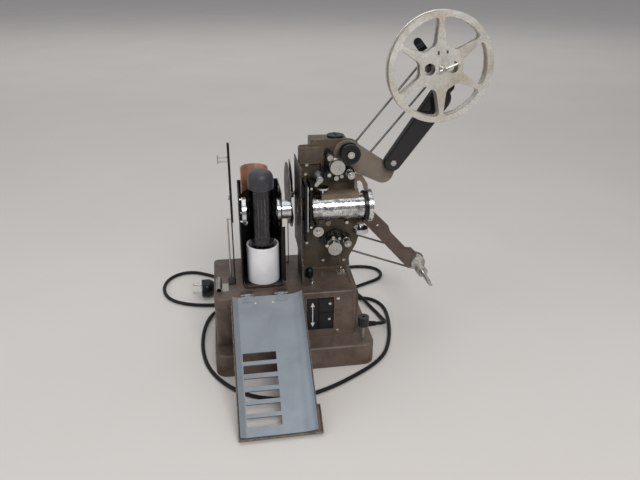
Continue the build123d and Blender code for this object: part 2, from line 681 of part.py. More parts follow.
def shutter():
    """The three-bladed rotating shutter on its shaft."""
    disc = rod_x(62, 7, 8, SHUTTER_Y, SHUTTER_Z)
    for turn in (0, 120, 240):
        points = [(24, -10), (64, -26), (64, 26), (24, 10)]
        sector = Pos(0, 0, 0) * plate_xz(points, -2, 2)
        sector = Rot(0, 0, 90) * sector
        disc -= Pos(7.5, SHUTTER_Y, SHUTTER_Z) * Rot(60 + turn, 0, 0) * sector
    return disc + rod_x(9, 8, 14, SHUTTER_Y, SHUTTER_Z) + rod_x(4, 14, 50, SHUTTER_Y, SHUTTER_Z)


def shutter_guard():
    """The thin fixed disc in front of the shutter, which guards it from heat."""
    disc = rod_x(56, 3, 4, SHUTTER_Y, SHUTTER_Z) - rod_x(16.5, 2, 5, OPTICAL_Y, OPTICAL_Z)
    disc += block(3, 4, 55, 64, BASE_TOP, 240)
    return disc + block(-12, 4, 58, 64, BASE_TOP, BASE_TOP + 1.5)


def toggle_plate():
    """The small control plate on the base's ledge, with the toggle's slot."""
    return block(88, 104, 2, 16, 135.5, 137.4) - block(91, 101, 7.5, 10.5, 135, 138)


def toggle():
    """The small bright switch lever."""
    lever = rod_z(1.3, 96, 9, 136.5, 146) + Pos(96, 9, 146) * Sphere(2.1)
    return lever


def speed_knob():
    """The black ball-topped speed control on the ledge."""
    knob = rod_z(7.2, 35, -4, 141, 150) + Pos(35, -4, 150) * (Sphere(7.2) & Pos(0, 0, 4) * Box(20, 20, 8))
    return knob + rod_z(3, 35, -4, 135.5, 141)


def lamp_button():
    """The bright push button in front of the speed control."""
    return rod_z(3.2, 37, -25, 140.6, 145) + rod_z(2, 37, -25, 134, 140.6)


def button_collar():
    """The collar that the push button slides in."""
    return rod_z(5.2, 37, -25, 135.5, 138) - rod_z(2 + FIT, 37, -25, 130, 140)


# Drive

def drive_motor():
    """The motor inside the base, with its feet."""
    can = rod_x(30, -70, 20, 20, 60) - rod_x(26, -66, 16, 20, 60)
    can += block(-66, 16, -5, 45, 1.5, 31) - rod_x(29, -80, 30, 20, 60)
    return can - rod_x(4 + FIT, -75, 25, 20, 60)


def motor_rotor():
    """The rotor: laminated core, shaft, cooling fan and belt pulley."""
    core = rod_x(22, -55, 5, 20, 60) + rod_x(4, -96, 40, 20, 60)
    fan = rod_x(10, -92, -78, 20, 60)
    for turn in range(0, 360, 45):
        blade = block(-92, -78, 8, 26, -0.8, 0.8)
        fan += Pos(0, 20, 60) * Rot(turn, 0, 0) * blade
    return core + fan + rod_x(8, 30, 40, 20, 60) - tube_x(9, 6.4, 33, 37, 20, 60)


# Reel arms

def arm_bracket():
    """The brown bracket from the head's upper corner to the elbow."""
    root = link_xz(((106, 359), (172, 322)), (24.5, 19), 26.5, PLATE_FRONT)
    tip = link_xz(((172, 322), (ELBOW_X, ELBOW_Z - 3)), (19, 11), 26.5, PLATE_FRONT)
    bracket = root + tip
    bracket -= rod_y(4.2, *FEED_ROLLER, 20, 40) + rod_y(6, *UPPER_SPROCKET, 20, 40)
    bracket -= rod_y(3.3, *SUPPLY_DRIVE, 20, 40)
    return bracket - rod_y(2.5, ELBOW_X, ELBOW_Z, 20, 40)


def supply_arm():
    """The black folding arm: a tapered pressed channel, open at the back."""
    ends = ((ELBOW_X, ELBOW_Z), (262, 452))
    arm = link_xz(ends, (16.5, 20.5), 16, 26)
    arm = fillet(arm.faces().sort_by(Axis.Y)[0].edges(), 4)
    arm -= link_xz(ends, (14.5, 18.5), 18.5, 27)
    arm += ring_y(7, 2.5 + FIT, ELBOW_X, ELBOW_Z, 18, 26.2)
    return arm - rod_y(2.5 + FIT, ELBOW_X, ELBOW_Z, 10, 30)


def elbow_screw():
    """The bright screw that the arm folds about."""
    screw = rod_y(5, ELBOW_X, ELBOW_Z, 13.6, 15.7) + rod_y(2.5, ELBOW_X, ELBOW_Z, 15.7, PLATE_FRONT)
    return screw - block(180, 193, 13, 14.4, ELBOW_Z - 0.5, ELBOW_Z + 0.5)


def spindle_bracket():
    """The grey strip at the end of the arm that carries the reel spindle."""
    strip = link_xz(((280, 471), (218, 544)), (9, 7), 26, 29)
    strip += rod_y(9, REEL_X, REEL_Z, 19, 35)
    foot = link_xz(((262, 450), (280, 471)), (8, 9), 26, 29)
    strip += foot
    return strip - rod_y(4 + FIT, REEL_X, REEL_Z, 10, 40)


def spindle(x, z, tip, seat, pulley_face, groove_end):
    """A reel spindle with its drive key and its belt pulley."""
    shaft = rod_y(4, x, z, tip, groove_end) + rod_y(7.5, x, z, seat, seat + 3)
    pulley = rod_y(17, x, z, pulley_face, groove_end)
    middle = (pulley_face + groove_end) / 2
    groove = Pos(x, middle, z) * Rot(90, 0, 0) * Torus(17.4, 2.3)
    return shaft + (pulley - groove)


def crossed_latch(x, z, tip):
    """The spindle's tip flipped crosswise, which keeps the reel on."""
    bar = Pos(x, tip - 3, z) * Rot(0, -22, 0) * rod_x(2, -8, 24, 0, 0)
    return bar + rod_y(3, x, z, tip - 5.4, tip)


def straight_latch(x, z, tip):
    """The spindle's tip in line with it, ready to take a reel."""
    blade = block(x - 2.6, x + 2.6, tip - 12, tip, z - 1.6, z + 1.6)
    return blade + rod_y(1.2, x, z, tip - 13.5, tip - 12)


def drive_pulley(x, z, y0, y1, shaft_end):
    """A grooved pulley for the coiled belt, on its short shaft."""
    pulley = rod_y(16.5, x, z, y0, y1)
    pulley -= Pos(x, (y0 + y1) / 2, z) * Rot(90, 0, 0) * Torus(16.9, 2.3)
    return pulley + rod_y(3, x, z, min(y0, shaft_end), max(y1, shaft_end))


def belt(first, second, radii, y):
    """A round belt about two pulleys: two straight runs and two arcs."""
    (ax, az), (bx, bz) = first, second
    length = math.hypot(bx - ax, bz - az)
    heading = math.atan2(bz - az, bx - ax)
    lean = math.acos((radii[0] - radii[1]) / length)

    def spot(x, z, r, angle):
        return (x + r * math.cos(angle), y, z + r * math.sin(angle))

    a_out, a_in = spot(ax, az, radii[0], heading + lean), spot(ax, az, radii[0], heading - lean)
    b_out, b_in = spot(bx, bz, radii[1], heading + lean), spot(bx, bz, radii[1], heading - lean)
    a_mid, b_mid = spot(ax, az, radii[0], heading + math.pi), spot(bx, bz, radii[1], heading)
    pieces = []
    for start, end in ((a_out, b_out), (b_in, a_in)):
        run = Vector(*end) - Vector(*start)
        section = Plane(origin=start, z_dir=run) * Circle(BELT_RADIUS)
        pieces.append(extrude(section, run.length, dir=run))
    for start, middle, end in ((b_out, b_mid, b_in), (a_in, a_mid, a_out)):
        arc = ThreePointArc(start, middle, end)
        section = Plane(origin=arc @ 0, z_dir=arc % 0) * Circle(BELT_RADIUS)
        pieces.append(sweep(section, path=arc))
    return pieces[0] + pieces[1] + pieces[2] + pieces[3]


def window(turn, grow, y0, y1):
    """One of the reel's openings, grown outwards by a little all round."""
    half = [(36 - grow, -8), (39, -13 - grow), (44, -17 - grow), (63, -31.5 - grow), (68, -34 - grow),
            (72 + grow, -32 - grow), (76 + grow, -22), (78.5 + grow, -8)]
    outline = half + [(x, -z) for x, z in reversed(half)]
    return Pos(REEL_X, 0, REEL_Z) * Rot(0, turn, 0) * plate_xz(outline, y0, y1)


def reel_flange(y0, y1, inward):
    """A pressed reel side: six lipped openings, a rolled rim and a spindle hole."""
    outer, inner = (y0, y1) if inward > 0 else (y1, y0)
    disc = rod_y(REEL_RADIUS, REEL_X, REEL_Z, y0, y1)
    lip_low, lip_high = sorted((inner, inner + 3 * inward))
    turns = [60 * i - 5 for i in range(6)]
    for turn in turns:
        disc += window(turn, 1, lip_low, lip_high)
    rim = Pos(REEL_X, outer + 1.3 * inward, REEL_Z) * Rot(90, 0, 0) * Torus(REEL_RADIUS - 1.2, 1.2)
    disc += rim
    for turn in turns:
        disc -= window(turn, 0, y0 - 5, y1 + 5)
    for x, z in ((-19.9, -1.7), (19.9, 1.7)):
        disc -= rod_y(9.5, REEL_X + x, REEL_Z + z, y0 - 2, y1 + 2)
    for x, z in ((-7.4, 24), (7.2, 26)):
        disc -= block(REEL_X + x - 1.6, REEL_X + x + 1.6, y0 - 2, y1 + 2, REEL_Z + z - 3, REEL_Z + z + 3)
    return disc - rod_y(4.3, REEL_X, REEL_Z, y0 - 2, y1 + 2)


def reel_core():
    """The drum between the reel's two sides."""
    core = ring_y(29, 28, REEL_X, REEL_Z, REEL_FRONT + 1, REEL_BACK - 1)
    return core + ring_y(7, 4.3, REEL_X, REEL_Z, REEL_FRONT + 1, REEL_BACK - 1)


def takeup_arm():
    """The brown take-up arm behind the lens, notched along its upper edge."""
    outline = [(99, 262), (99, 296), (104, 302), (167, 236), (194, 208.5), (199, 195), (231, 160),
               (243, 158), (255, 146), (252, 118), (240, 113), (150, 213)]
    arm = plate_xz(outline, 46, 49.5)
    arm += block(HOUSING_RIGHT, 101, 46, 62, 262, 298)
    return arm - rod_y(2.4, 173, 210, 40, 52)


def takeup_hub():
    """The grey cast bearing at the end of the take-up arm."""
    hub = rod_y(14, TAKEUP_X - 4, TAKEUP_Z + 12, 40, 46) + rod_y(10, TAKEUP_X, TAKEUP_Z, 22, 46)
    return hub - rod_y(4 + FIT, TAKEUP_X, TAKEUP_Z, 10, 60)


# Mains lead

CORD_ROUTE = [
    (166, -2, 22), (175, -1, 21), (184, 3, 19), (190, 12, 15), (192, 26, 9), (190, 44, 5), (186, 64, 4),
    (180, 84, 4), (172, 102, 8), (163, 118, 14), (153, 134, 14), (150.5, 147.5, 12), (153.8, 160.5, 7),
    (162, 171.3, 4), (181, 181, 4), (204, 192, 4), (225, 203, 4), (236, 219, 4), (238, 238, 4),
    (229, 254, 4), (213, 264, 4), (188, 269, 4), (156, 268, 4), (126, 263, 4), (76, 251, 4),
    (20, 243, 4), (-38, 238, 4), (-88, 240, 4), (-128, 254, 4), (-158, 276, 4), (-190, 295, 4),
    (-222, 293, 4), (-246, 272, 4), (-256, 240, 4), (-253, 206, 4), (-238, 176, 4), (-210, 156, 4),
    (-176, 145, 4), (-136, 141, 4), (-88, 140, 4), (-36, 134, 4), (16, 127, 4), (64, 122, 4),
    (104, 121, 4), (136, 125, 4), (163, 127, 4), (187, 119, 4), (202, 99, 4), (207, 72, 4),
    (204, 38, 4), (196, -2, 4), (184, -40, 4), (167, -76, 4), (140, -104, 4), (100, -130, 4),
    (56, -154, 4), (10, -171, 4), (-36, -174, 4), (-78, -163, 4), (-112, -139, 4), (-140, -105, 4),
    (-159, -64, 4), (-167, -20, 4), (-168, 26, 4), (-163, 68, 4), (-152, 101, 5), (-130, 118, 10),
    (-106, 124, 14), (-81, 131, 15), (-67.5, 145.5, 15), (-64, 164.5, 14), (-71.5, 182.5, 14),
    (-88, 193, 14.5), (-106, 196, 15.5), (-123, 194.5, 16.5),
]


def cord_radii(points):
    """One radius for each corner: as large as its two runs allow."""
    radii = []
    for before, here, after in zip(points, points[1:], points[2:]):
        arriving = Vector(*here) - Vector(*before)
        leaving = Vector(*after) - Vector(*here)
        turn = math.radians(arriving.get_angle(leaving))
        radii.append(0.45 * min(arriving.length, leaving.length) / math.tan(turn / 2))
    return radii


def mains_cord():
    """The lead as it lies: straight runs joined by tangent arcs."""
    radii = cord_radii(CORD_ROUTE)
    path = FilletPolyline(*CORD_ROUTE, radius=radii)
    section = Plane(origin=path @ 0, z_dir=path % 0) * Circle(CORD_DIAMETER / 2)
    tube = sweep(section, path=path)
    print("cord radii", [round(r) for r in radii])
    print("cord length", round(path.length, 1), "volume ratio",
          round(tube.volume / (math.pi * CORD_DIAMETER ** 2 / 4 * path.length), 4))
    return tube


def strain_relief():
    """The tapered sleeve where the lead leaves the base."""
    start = Vector(*CORD_ROUTE[0])
    heading = (Vector(*CORD_ROUTE[1]) - start).normalized()
    sleeve = Plane(origin=start - heading * 13, z_dir=heading) * Cone(6.5, 4.6, 26)
    gland = rod_x(8.5, 142, 145, -2, 22)
    return (sleeve & block(145, 200, -50, 50, 0, 50)) + gland


def mains_plug():
    """The round two-pin plug, lying with its lead to the right."""
    end = Vector(*CORD_ROUTE[-1])
    heading = (end - Vector(*CORD_ROUTE[-2])).normalized()
    neck = Plane(origin=end + heading * 8, z_dir=heading) * Cone(5.5, 8, 16)
    body = Plane(origin=end + heading * 26, z_dir=heading) * Cone(11, 18.5, 22)
    body += Plane(origin=end + heading * 43, z_dir=heading) * Cylinder(18.5, 12)
    return neck + body + Plane(origin=end + heading * 15.5, z_dir=heading) * Cylinder(7.9, 3)


def plug_pins():
    """The plug's two round contact pins."""
    end = Vector(*CORD_ROUTE[-1])
    heading = (end - Vector(*CORD_ROUTE[-2])).normalized()
    face = Plane(origin=end + heading * 49, x_dir=(0, 0, 1), z_dir=heading)
    return [face * Pos(side * 9.5, 0, 9.5) * Cylinder(2.4, 19) for side in (-1, 1)]


def main():
    """Build every node and write it."""
    os.makedirs("parts", exist_ok=True)
    rollers = {
        "roller_upper_left": (68.7, 333, 6.2),
        "roller_upper_right": (107.7, 329.6, 6.5),
        "roller_lower_right": (105.7, 199.8, 6.5),
    }
    nodes = {
        "base_casting": base_casting(),
        "bottom_cover": bottom_cover(),
        "connector_panel": connector_panel(),
        "case_screws": case_screws(),
        "tilt_screw": tilt_screw(),
        "lamphouse_frame": lamphouse_frame(),
        "lamp_socket": lamp_socket(),
        "projection_lamp": [lamp_base(), lamp_envelope(), lamp_crown(), lamp_filament()],
        "rear_mirror": rear_mirror(),
        "optic_mounts": [mirror_holder(), condenser_tube()],
        "condenser_lenses": condenser_lenses(),
        "rear_hood": rear_hood(),
        "latch_strip": latch_strip(),
        "latch_rods": latch_pin() + [link_rod(), catch_socket()],
        "heat_screens": [heat_wall(), shutter_guard(), lamp_tray()],
        "door_cover": door_cover(),
        "door_shield": door_shield(),
        "door_fittings": door_struts() + door_rivets() + door_hinge_leaves(),
        "base_hinge_leaves": base_hinge_leaves() + door_hinge_pins(),
        "head_plate": head_plate(),
        "head_housing": head_housing(),
        "head_covers": [housing_back(), side_cover()],
        "black_fittings": [upper_shoe(), lower_shoe(), knob_collar(), top_cap()],
        "upper_sprocket": [sprocket(UPPER_SPROCKET, 60), sprocket_gear(UPPER_SPROCKET)],
        "lower_sprocket": [sprocket(LOWER_SPROCKET, 60), sprocket_gear(LOWER_SPROCKET)],
        "feed_roller": feed_roller(),
        "film_posts": film_posts() + shoe_pins() + [plate_stud()],
        "gate_knob": gate_knob(),
        "film_gate": [film_gate(), gate_frame()],
        "pressure_plate": pressure_plate(),
        "lens_barrel": lens_barrel(),
        "lens_glass": lens_glass(),
        "lens_saddle": [lens_saddle() + saddle_hook(), focus_bracket(), guide_block(),
                        toggle_plate(), button_collar()],
        "lens_clamp": lens_clamp(),
        "focus_knob": focus_knob(),
        "lower_guide": lower_guide(),
        "shutter": shutter(),
        "drive_shaft": drive_shaft(),
        "toggle": toggle(),
        "speed_knob": speed_knob(),
        "lamp_button": lamp_button(),
        "drive_motor": drive_motor(),
        "motor_rotor": motor_rotor(),
        "arm_bracket": arm_bracket(),
        "supply_arm": [supply_arm(), spindle_bracket()],
        "supply_spindle": [spindle(REEL_X, REEL_Z, -14, 14.4, 36.5, 43.5),
                           crossed_latch(REEL_X, REEL_Z, -14)],
        "supply_reel": [reel_flange(REEL_FRONT, REEL_FRONT + 1, 1),
                        reel_flange(REEL_BACK - 1, REEL_BACK, -1), reel_core()],
        "supply_belt": belt(SUPPLY_DRIVE, (REEL_X, REEL_Z), (16.9, 17.4), 40),
        "supply_pulley": drive_pulley(*SUPPLY_DRIVE, 36.6, 43.4, 30),
        "takeup_arm": takeup_arm(),
        "takeup_hub": takeup_hub(),
        "takeup_spindle": [spindle(TAKEUP_X, TAKEUP_Z, -16, 18.5, 70.5, 77.5),
                           straight_latch(TAKEUP_X, TAKEUP_Z, -16)],
        "takeup_belt": belt(TAKEUP_DRIVE, (TAKEUP_X, TAKEUP_Z), (16.9, 17.4), 74),
        "takeup_pulley": drive_pulley(*TAKEUP_DRIVE, 70.6, 77.4, 60.5),
        "mains_cord": mains_cord(),
        "mains_plug": [mains_plug()] + plug_pins(),
        "strain_relief": strain_relief(),
    }
    for name, (x, z, radius) in rollers.items():
        nodes[name] = roller_y(x, z, radius, -4, 16, radius - 1.2, 2 + FIT)
    for name, shape in nodes.items():
        save(shape, name)


if __name__ == "__main__":
    main()
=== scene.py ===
import json
import math

import bmesh
import bpy
from mathutils import Matrix, Vector


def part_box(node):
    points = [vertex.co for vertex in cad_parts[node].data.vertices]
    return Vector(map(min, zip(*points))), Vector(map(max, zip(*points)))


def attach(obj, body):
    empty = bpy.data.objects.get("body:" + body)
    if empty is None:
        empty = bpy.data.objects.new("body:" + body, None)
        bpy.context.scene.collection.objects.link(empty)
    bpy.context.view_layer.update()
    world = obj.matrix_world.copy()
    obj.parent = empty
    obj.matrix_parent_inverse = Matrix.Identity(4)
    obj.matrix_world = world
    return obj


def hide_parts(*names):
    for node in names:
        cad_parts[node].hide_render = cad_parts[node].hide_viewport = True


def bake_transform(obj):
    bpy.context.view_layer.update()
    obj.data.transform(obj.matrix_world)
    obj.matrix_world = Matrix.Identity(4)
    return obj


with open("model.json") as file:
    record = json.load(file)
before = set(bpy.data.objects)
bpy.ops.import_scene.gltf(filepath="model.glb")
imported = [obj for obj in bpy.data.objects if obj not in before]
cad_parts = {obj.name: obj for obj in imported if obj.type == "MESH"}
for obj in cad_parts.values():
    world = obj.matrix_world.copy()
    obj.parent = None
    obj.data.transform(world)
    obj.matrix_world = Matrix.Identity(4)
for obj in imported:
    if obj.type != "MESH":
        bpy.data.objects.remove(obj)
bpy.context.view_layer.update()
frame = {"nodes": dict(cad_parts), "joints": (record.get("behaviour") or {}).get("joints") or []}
nodes = frame["nodes"]

# Places that several pieces share, in metres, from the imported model
FLOOR_Z = 0.0
well_low, well_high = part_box("lamp_socket")
LAMP_AXIS = Vector(((well_low.x + well_high.x) / 2, (well_low.y + well_high.y) / 2, 0))
barrel_low, barrel_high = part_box("lens_barrel")
OPTICAL = Vector((0, (barrel_low.y + barrel_high.y) / 2, (barrel_low.z + barrel_high.z) / 2))
SUPPLY_BELT_Y = 0.040
TAKEUP_BELT_Y = 0.074
BELT_RADIUS = 0.0020
CORD_DIAMETER = 0.007


# ---------------------------------------------------------------- camera

camera = bpy.data.objects.new("camera", bpy.data.cameras.new("camera"))
bpy.context.scene.collection.objects.link(camera)
camera.data.lens = 33.2
camera.data.sensor_width = 36.0
right = Vector((0.98700, -0.16046, 0.00977))
upward = Vector((0.06023, 0.42546, 0.90300))
forward = Vector((0.14904, 0.89066, -0.42956))
turn = Matrix((right, upward, -forward)).transposed()
camera.matrix_world = Matrix.Translation((-0.1034, -0.945, 0.665)) @ turn.to_4x4()
bpy.context.scene.camera = camera


# ---------------------------------------------------------------- materials

class Tree:
    """A material's node tree, with short ways to add and link its nodes."""

    def __init__(self, name, colour, roughness=0.5, metallic=0.0):
        self.material = bpy.data.materials.new(name)
        self.material.use_nodes = True
        self.tree = self.material.node_tree
        self.shader = self.tree.nodes["Principled BSDF"]
        self.where = self.tree.nodes.new("ShaderNodeTexCoord").outputs["Object"]
        self.set("Base Color", (*colour, 1.0))
        self.set("Roughness", roughness)
        self.set("Metallic", metallic)

    def set(self, socket, value):
        self.shader.inputs[socket].default_value = value

    def link(self, output, socket):
        self.tree.links.new(output, self.shader.inputs[socket])

    def put(self, node, socket, value):
        """Give a node's input a constant or another node's output."""
        if isinstance(value, bpy.types.NodeSocket):
            self.tree.links.new(value, node.inputs[socket])
        else:
            node.inputs[socket].default_value = value

    def noise(self, scale, detail=4.0, rough=0.55, stretch=None, distort=0.0):
        node = self.tree.nodes.new("ShaderNodeTexNoise")
        node.inputs["Scale"].default_value = scale
        node.inputs["Detail"].default_value = detail
        node.inputs["Roughness"].default_value = rough
        node.inputs["Distortion"].default_value = distort
        self.tree.links.new(self.stretched(stretch), node.inputs["Vector"])
        return node.outputs["Fac"]

    def stretched(self, stretch):
        if stretch is None:
            return self.where
        node = self.tree.nodes.new("ShaderNodeMapping")
        node.inputs["Scale"].default_value = stretch
        self.tree.links.new(self.where, node.inputs["Vector"])
        return node.outputs["Vector"]

    def cells(self, scale, feature="SMOOTH_F1"):
        node = self.tree.nodes.new("ShaderNodeTexVoronoi")
        node.feature = feature
        node.inputs["Scale"].default_value = scale
        self.tree.links.new(self.where, node.inputs["Vector"])
        return node.outputs["Distance"]

    def ramp(self, factor, *stops):
        """Stops are (position, colour or grey)."""
        node = self.tree.nodes.new("ShaderNodeValToRGB")
        band = node.color_ramp
        while len(band.elements) < len(stops):
            band.elements.new(1.0)
        for element, (place, value) in zip(band.elements, stops):
            element.position = place
            grey = isinstance(value, (int, float))
            element.color = (value, value, value, 1.0) if grey else (*value, 1.0)
        self.tree.links.new(factor, node.inputs["Fac"])
        return node.outputs["Color"]

    def mix(self, factor, first, second, blend="MIX"):
        node = self.tree.nodes.new("ShaderNodeMix")
        node.data_type = "RGBA"
        node.blend_type = blend
        self.put(node, 0, factor)
        for socket, value in ((6, first), (7, second)):
            self.put(node, socket, (*value, 1.0) if isinstance(value, tuple) else value)
        return node.outputs[2]

    def sum(self, first, second, operation="ADD"):
        node = self.tree.nodes.new("ShaderNodeMath")
        node.operation = operation
        self.put(node, 0, first)
        self.put(node, 1, second)
        return node.outputs["Value"]

    def coordinate(self, axis):
        node = self.tree.nodes.new("ShaderNodeSeparateXYZ")
        self.tree.links.new(self.where, node.inputs["Vector"])
        return node.outputs[axis]

    def between(self, axis, low, high):
        """One inside a slab of the row frame, nought outside it."""
        value = self.coordinate(axis)
        above = self.sum(value, low, "GREATER_THAN")
        below = self.sum(value, high, "LESS_THAN")
        return self.sum(above, below, "MULTIPLY")

    def bump(self, height, distance, strength=1.0, under=None):
        node = self.tree.nodes.new("ShaderNodeBump")
        node.inputs["Distance"].default_value = distance
        node.inputs["Strength"].default_value = strength
        self.tree.links.new(height, node.inputs["Height"])
        if under is not None:
            self.tree.links.new(under, node.inputs["Normal"])
        self.link(node.outputs["Normal"], "Normal")
        return node.outputs["Normal"]

    def edges(self, radius, low=0.02, high=0.25):
        """A mask of the solid's edges, broken up as wear is."""
        bevel = self.tree.nodes.new("ShaderNodeBevel")
        bevel.samples = 4
        bevel.inputs["Radius"].default_value = radius
        geometry = self.tree.nodes.new("ShaderNodeNewGeometry")
        dot = self.tree.nodes.new("ShaderNodeVectorMath")
        dot.operation = "DOT_PRODUCT"
        self.tree.links.new(bevel.outputs["Normal"], dot.inputs[0])
        self.tree.links.new(geometry.outputs["Normal"], dot.inputs[1])
        turned = self.sum(1.0, dot.outputs["Value"], "SUBTRACT")
        broken = self.sum(turned, self.ramp(self.noise(220), (0.38, 0.0), (0.62, 1.0)), "MULTIPLY")
        return self.ramp(broken, (low, 0.0), (high, 1.0))


def worn_paint(name, colour, dark, light, bare, roughness=0.42, grain=0.00012, wear=0.0012,
               scale=240, stain=0.35):
    """Hammered or sprayed enamel: mottled, stained in patches, rubbed to bare metal on its edges."""
    t = Tree(name, colour, roughness)
    patches = t.ramp(t.noise(9, 6, 0.6), (0.32, dark), (0.52, colour), (0.72, light))
    stains = t.ramp(t.noise(28, 8, 0.65, distort=0.6), (0.36, 1 - stain), (0.55, 1.0))
    body = t.mix(1.0, patches, stains, "MULTIPLY")
    speck = t.ramp(t.noise(420, 2, 0.5), (0.64, 0.0), (0.72, 0.6))
    body = t.mix(speck, body, light)
    mask = t.edges(wear)
    t.link(t.mix(mask, body, bare), "Base Color")
    t.link(t.ramp(t.noise(60, 5), (0.3, roughness - 0.1), (0.7, roughness + 0.14)), "Roughness")
    t.link(t.sum(mask, 0.55, "MULTIPLY"), "Metallic")
    fine = t.bump(t.cells(scale), grain * 2.2, 0.5)
    t.bump(t.noise(scale * 3.2, 3), grain, 0.45, fine)
    return t


def bright_metal(name, colour, roughness, brushed=None, pits=0.25, dirt=(0.10, 0.085, 0.07)):
    """Bare or plated metal with fine brushing, small pits and dull patches."""
    t = Tree(name, colour, roughness, 1.0)
    dull = t.ramp(t.noise(46, 7, 0.62, distort=0.4), (0.34, 0.72), (0.58, 1.0))
    clean = t.mix(1.0, (*colour,), dull, "MULTIPLY")
    spots = t.ramp(t.noise(260, 4, 0.6), (0.60, 0.0), (0.70, pits))
    t.link(t.mix(spots, clean, dirt), "Base Color")
    t.link(t.ramp(t.noise(90, 6), (0.3, max(0.05, roughness - 0.08)), (0.7, roughness + 0.14)),
           "Roughness")
    grain = t.noise(700, 3, 0.5, brushed)
    t.bump(grain, 0.00003, 0.35)
    return t


def black_enamel(name, roughness=0.22, coat=0.0, tint=(0.012, 0.012, 0.014), dust=0.16):
    """Black stove enamel or moulded plastic with a little dust and faint unevenness."""
    t = Tree(name, tint, roughness)
    speck = t.ramp(t.noise(140, 7, 0.65), (0.56, 0.0), (0.74, dust))
    t.link(t.mix(speck, tint, (0.20, 0.19, 0.18)), "Base Color")
    t.link(t.ramp(t.noise(35, 5), (0.3, roughness - 0.06), (0.7, roughness + 0.10)), "Roughness")
    t.set("Specular IOR Level", 0.26)
    t.set("Coat Weight", coat)
    t.set("Coat Roughness", 0.08)
    t.bump(t.noise(900, 2), 0.00002, 0.4)
    return t


def make_materials():
    m = {}
    m["base_paint"] = worn_paint("base_paint", (0.122, 0.084, 0.062), (0.085, 0.057, 0.042),
                                 (0.172, 0.126, 0.100), (0.40, 0.35, 0.30), 0.42)
    m["head_paint"] = worn_paint("head_paint", (0.098, 0.072, 0.047), (0.066, 0.048, 0.030),
                                 (0.140, 0.108, 0.076), (0.50, 0.45, 0.36), 0.40, stain=0.42)
    m["bracket_paint"] = worn_paint("bracket_paint", (0.205, 0.168, 0.130), (0.160, 0.128, 0.097),
                                    (0.25, 0.21, 0.17), (0.5, 0.46, 0.4), 0.46)
    m["arm_paint"] = worn_paint("arm_paint", (0.115, 0.072, 0.060), (0.085, 0.052, 0.043),
                                (0.165, 0.115, 0.095), (0.42, 0.36, 0.3), 0.5)
    m["door_paint"] = door_paint()
    m["saddle_paint"] = saddle_paint()
    m["black_sheet"] = black_enamel("black_sheet", 0.34, 0.0, (0.008, 0.008, 0.008), 0.05)
    m["black_gloss"] = black_enamel("black_gloss", 0.12, 0.5, (0.004, 0.004, 0.005), 0.012)
    m["black_plastic"] = black_enamel("black_plastic", 0.26, 0.15, (0.007, 0.007, 0.008), 0.05)
    m["panel_plastic"] = black_enamel("panel_plastic", 0.35, 0.1, (0.010, 0.010, 0.011), 0.08)
    m["rubber"] = black_enamel("rubber", 0.42, 0.0, (0.008, 0.008, 0.009), 0.04)
    m["dark_steel"] = bright_metal("dark_steel", (0.20, 0.18, 0.165), 0.42, pits=0.4)
    m["steel"] = bright_metal("steel", (0.54, 0.52, 0.49), 0.27)
    m["rod_steel"] = bright_metal("rod_steel", (0.50, 0.46, 0.42), 0.30, pits=0.45)
    m["aluminium"] = bright_metal("aluminium", (0.52, 0.51, 0.49), 0.34, (1, 1, 1), 0.3)
    m["chrome"] = bright_metal("chrome", (0.70, 0.70, 0.71), 0.12, pits=0.15)
    m["barrel"] = barrel_chrome()
    m["grey_cast"] = grey_casting()
    m["reel"] = reel_metal()
    m["copper"] = copper_sheet()
    m["spring"] = bright_metal("spring", (0.22, 0.21, 0.20), 0.36, pits=0.2)
    m["porcelain"] = porcelain()
    m["crown"] = crown_coating()
    m["white_paint"] = white_paint()
    m["glass"] = clear_glass("glass", (0.93, 0.96, 0.97), 1.52)
    m["lamp_glass"] = clear_glass("lamp_glass", (0.42, 0.42, 0.45), 1.47)
    m["mirror"] = mirror_glass()
    m["brass"] = bright_metal("brass", (0.55, 0.38, 0.17), 0.34, pits=0.5)
    m["screen_sheet"] = worn_paint("screen_sheet", (0.036, 0.029, 0.024), (0.018, 0.015, 0.013),
                                   (0.075, 0.062, 0.053), (0.62, 0.58, 0.52), 0.45, 0.00004, 0.0008,
                                   400, 0.5)
    m["leaf_paint"] = leaf_paint()
    m["tilt_finish"] = tilt_finish()
    m["floor"] = floor_paper()
    return m


def door_paint():
    """Satin blue-grey paint, cloudy, with rust specks gathering towards the door's free end."""
    grey, cool = (0.235, 0.262, 0.285), (0.265, 0.305, 0.345)
    t = Tree("door_paint", grey, 0.36)
    down = t.sum(t.sum(t.coordinate("Y"), -0.065, "SUBTRACT"), -5.2, "MULTIPLY")
    tone = t.mix(t.ramp(down, (0.1, 0.0), (0.9, 1.0)), grey, cool)
    cloud = t.ramp(t.noise(16, 6, 0.6, distort=0.5), (0.34, 0.86), (0.62, 1.04))
    body = t.mix(1.0, tone, cloud, "MULTIPLY")
    specks = t.ramp(t.cells(170, "F1"), (0.10, 1.0), (0.17, 0.0))
    few = t.ramp(t.noise(38, 3), (0.50, 0.0), (0.66, 1.0))
    rust = t.sum(t.sum(specks, few, "MULTIPLY"), t.ramp(down, (0.35, 0.0), (1.0, 0.8)), "MULTIPLY")
    body = t.mix(rust, body, (0.10, 0.055, 0.035))
    mask = t.edges(0.001)
    t.link(t.mix(mask, body, (0.30, 0.29, 0.28)), "Base Color")
    t.link(t.ramp(t.noise(70, 5), (0.3, 0.28), (0.7, 0.44)), "Roughness")
    t.set("Metallic", 0.15)
    t.bump(t.noise(620, 3), 0.00005, 0.35)
    return t


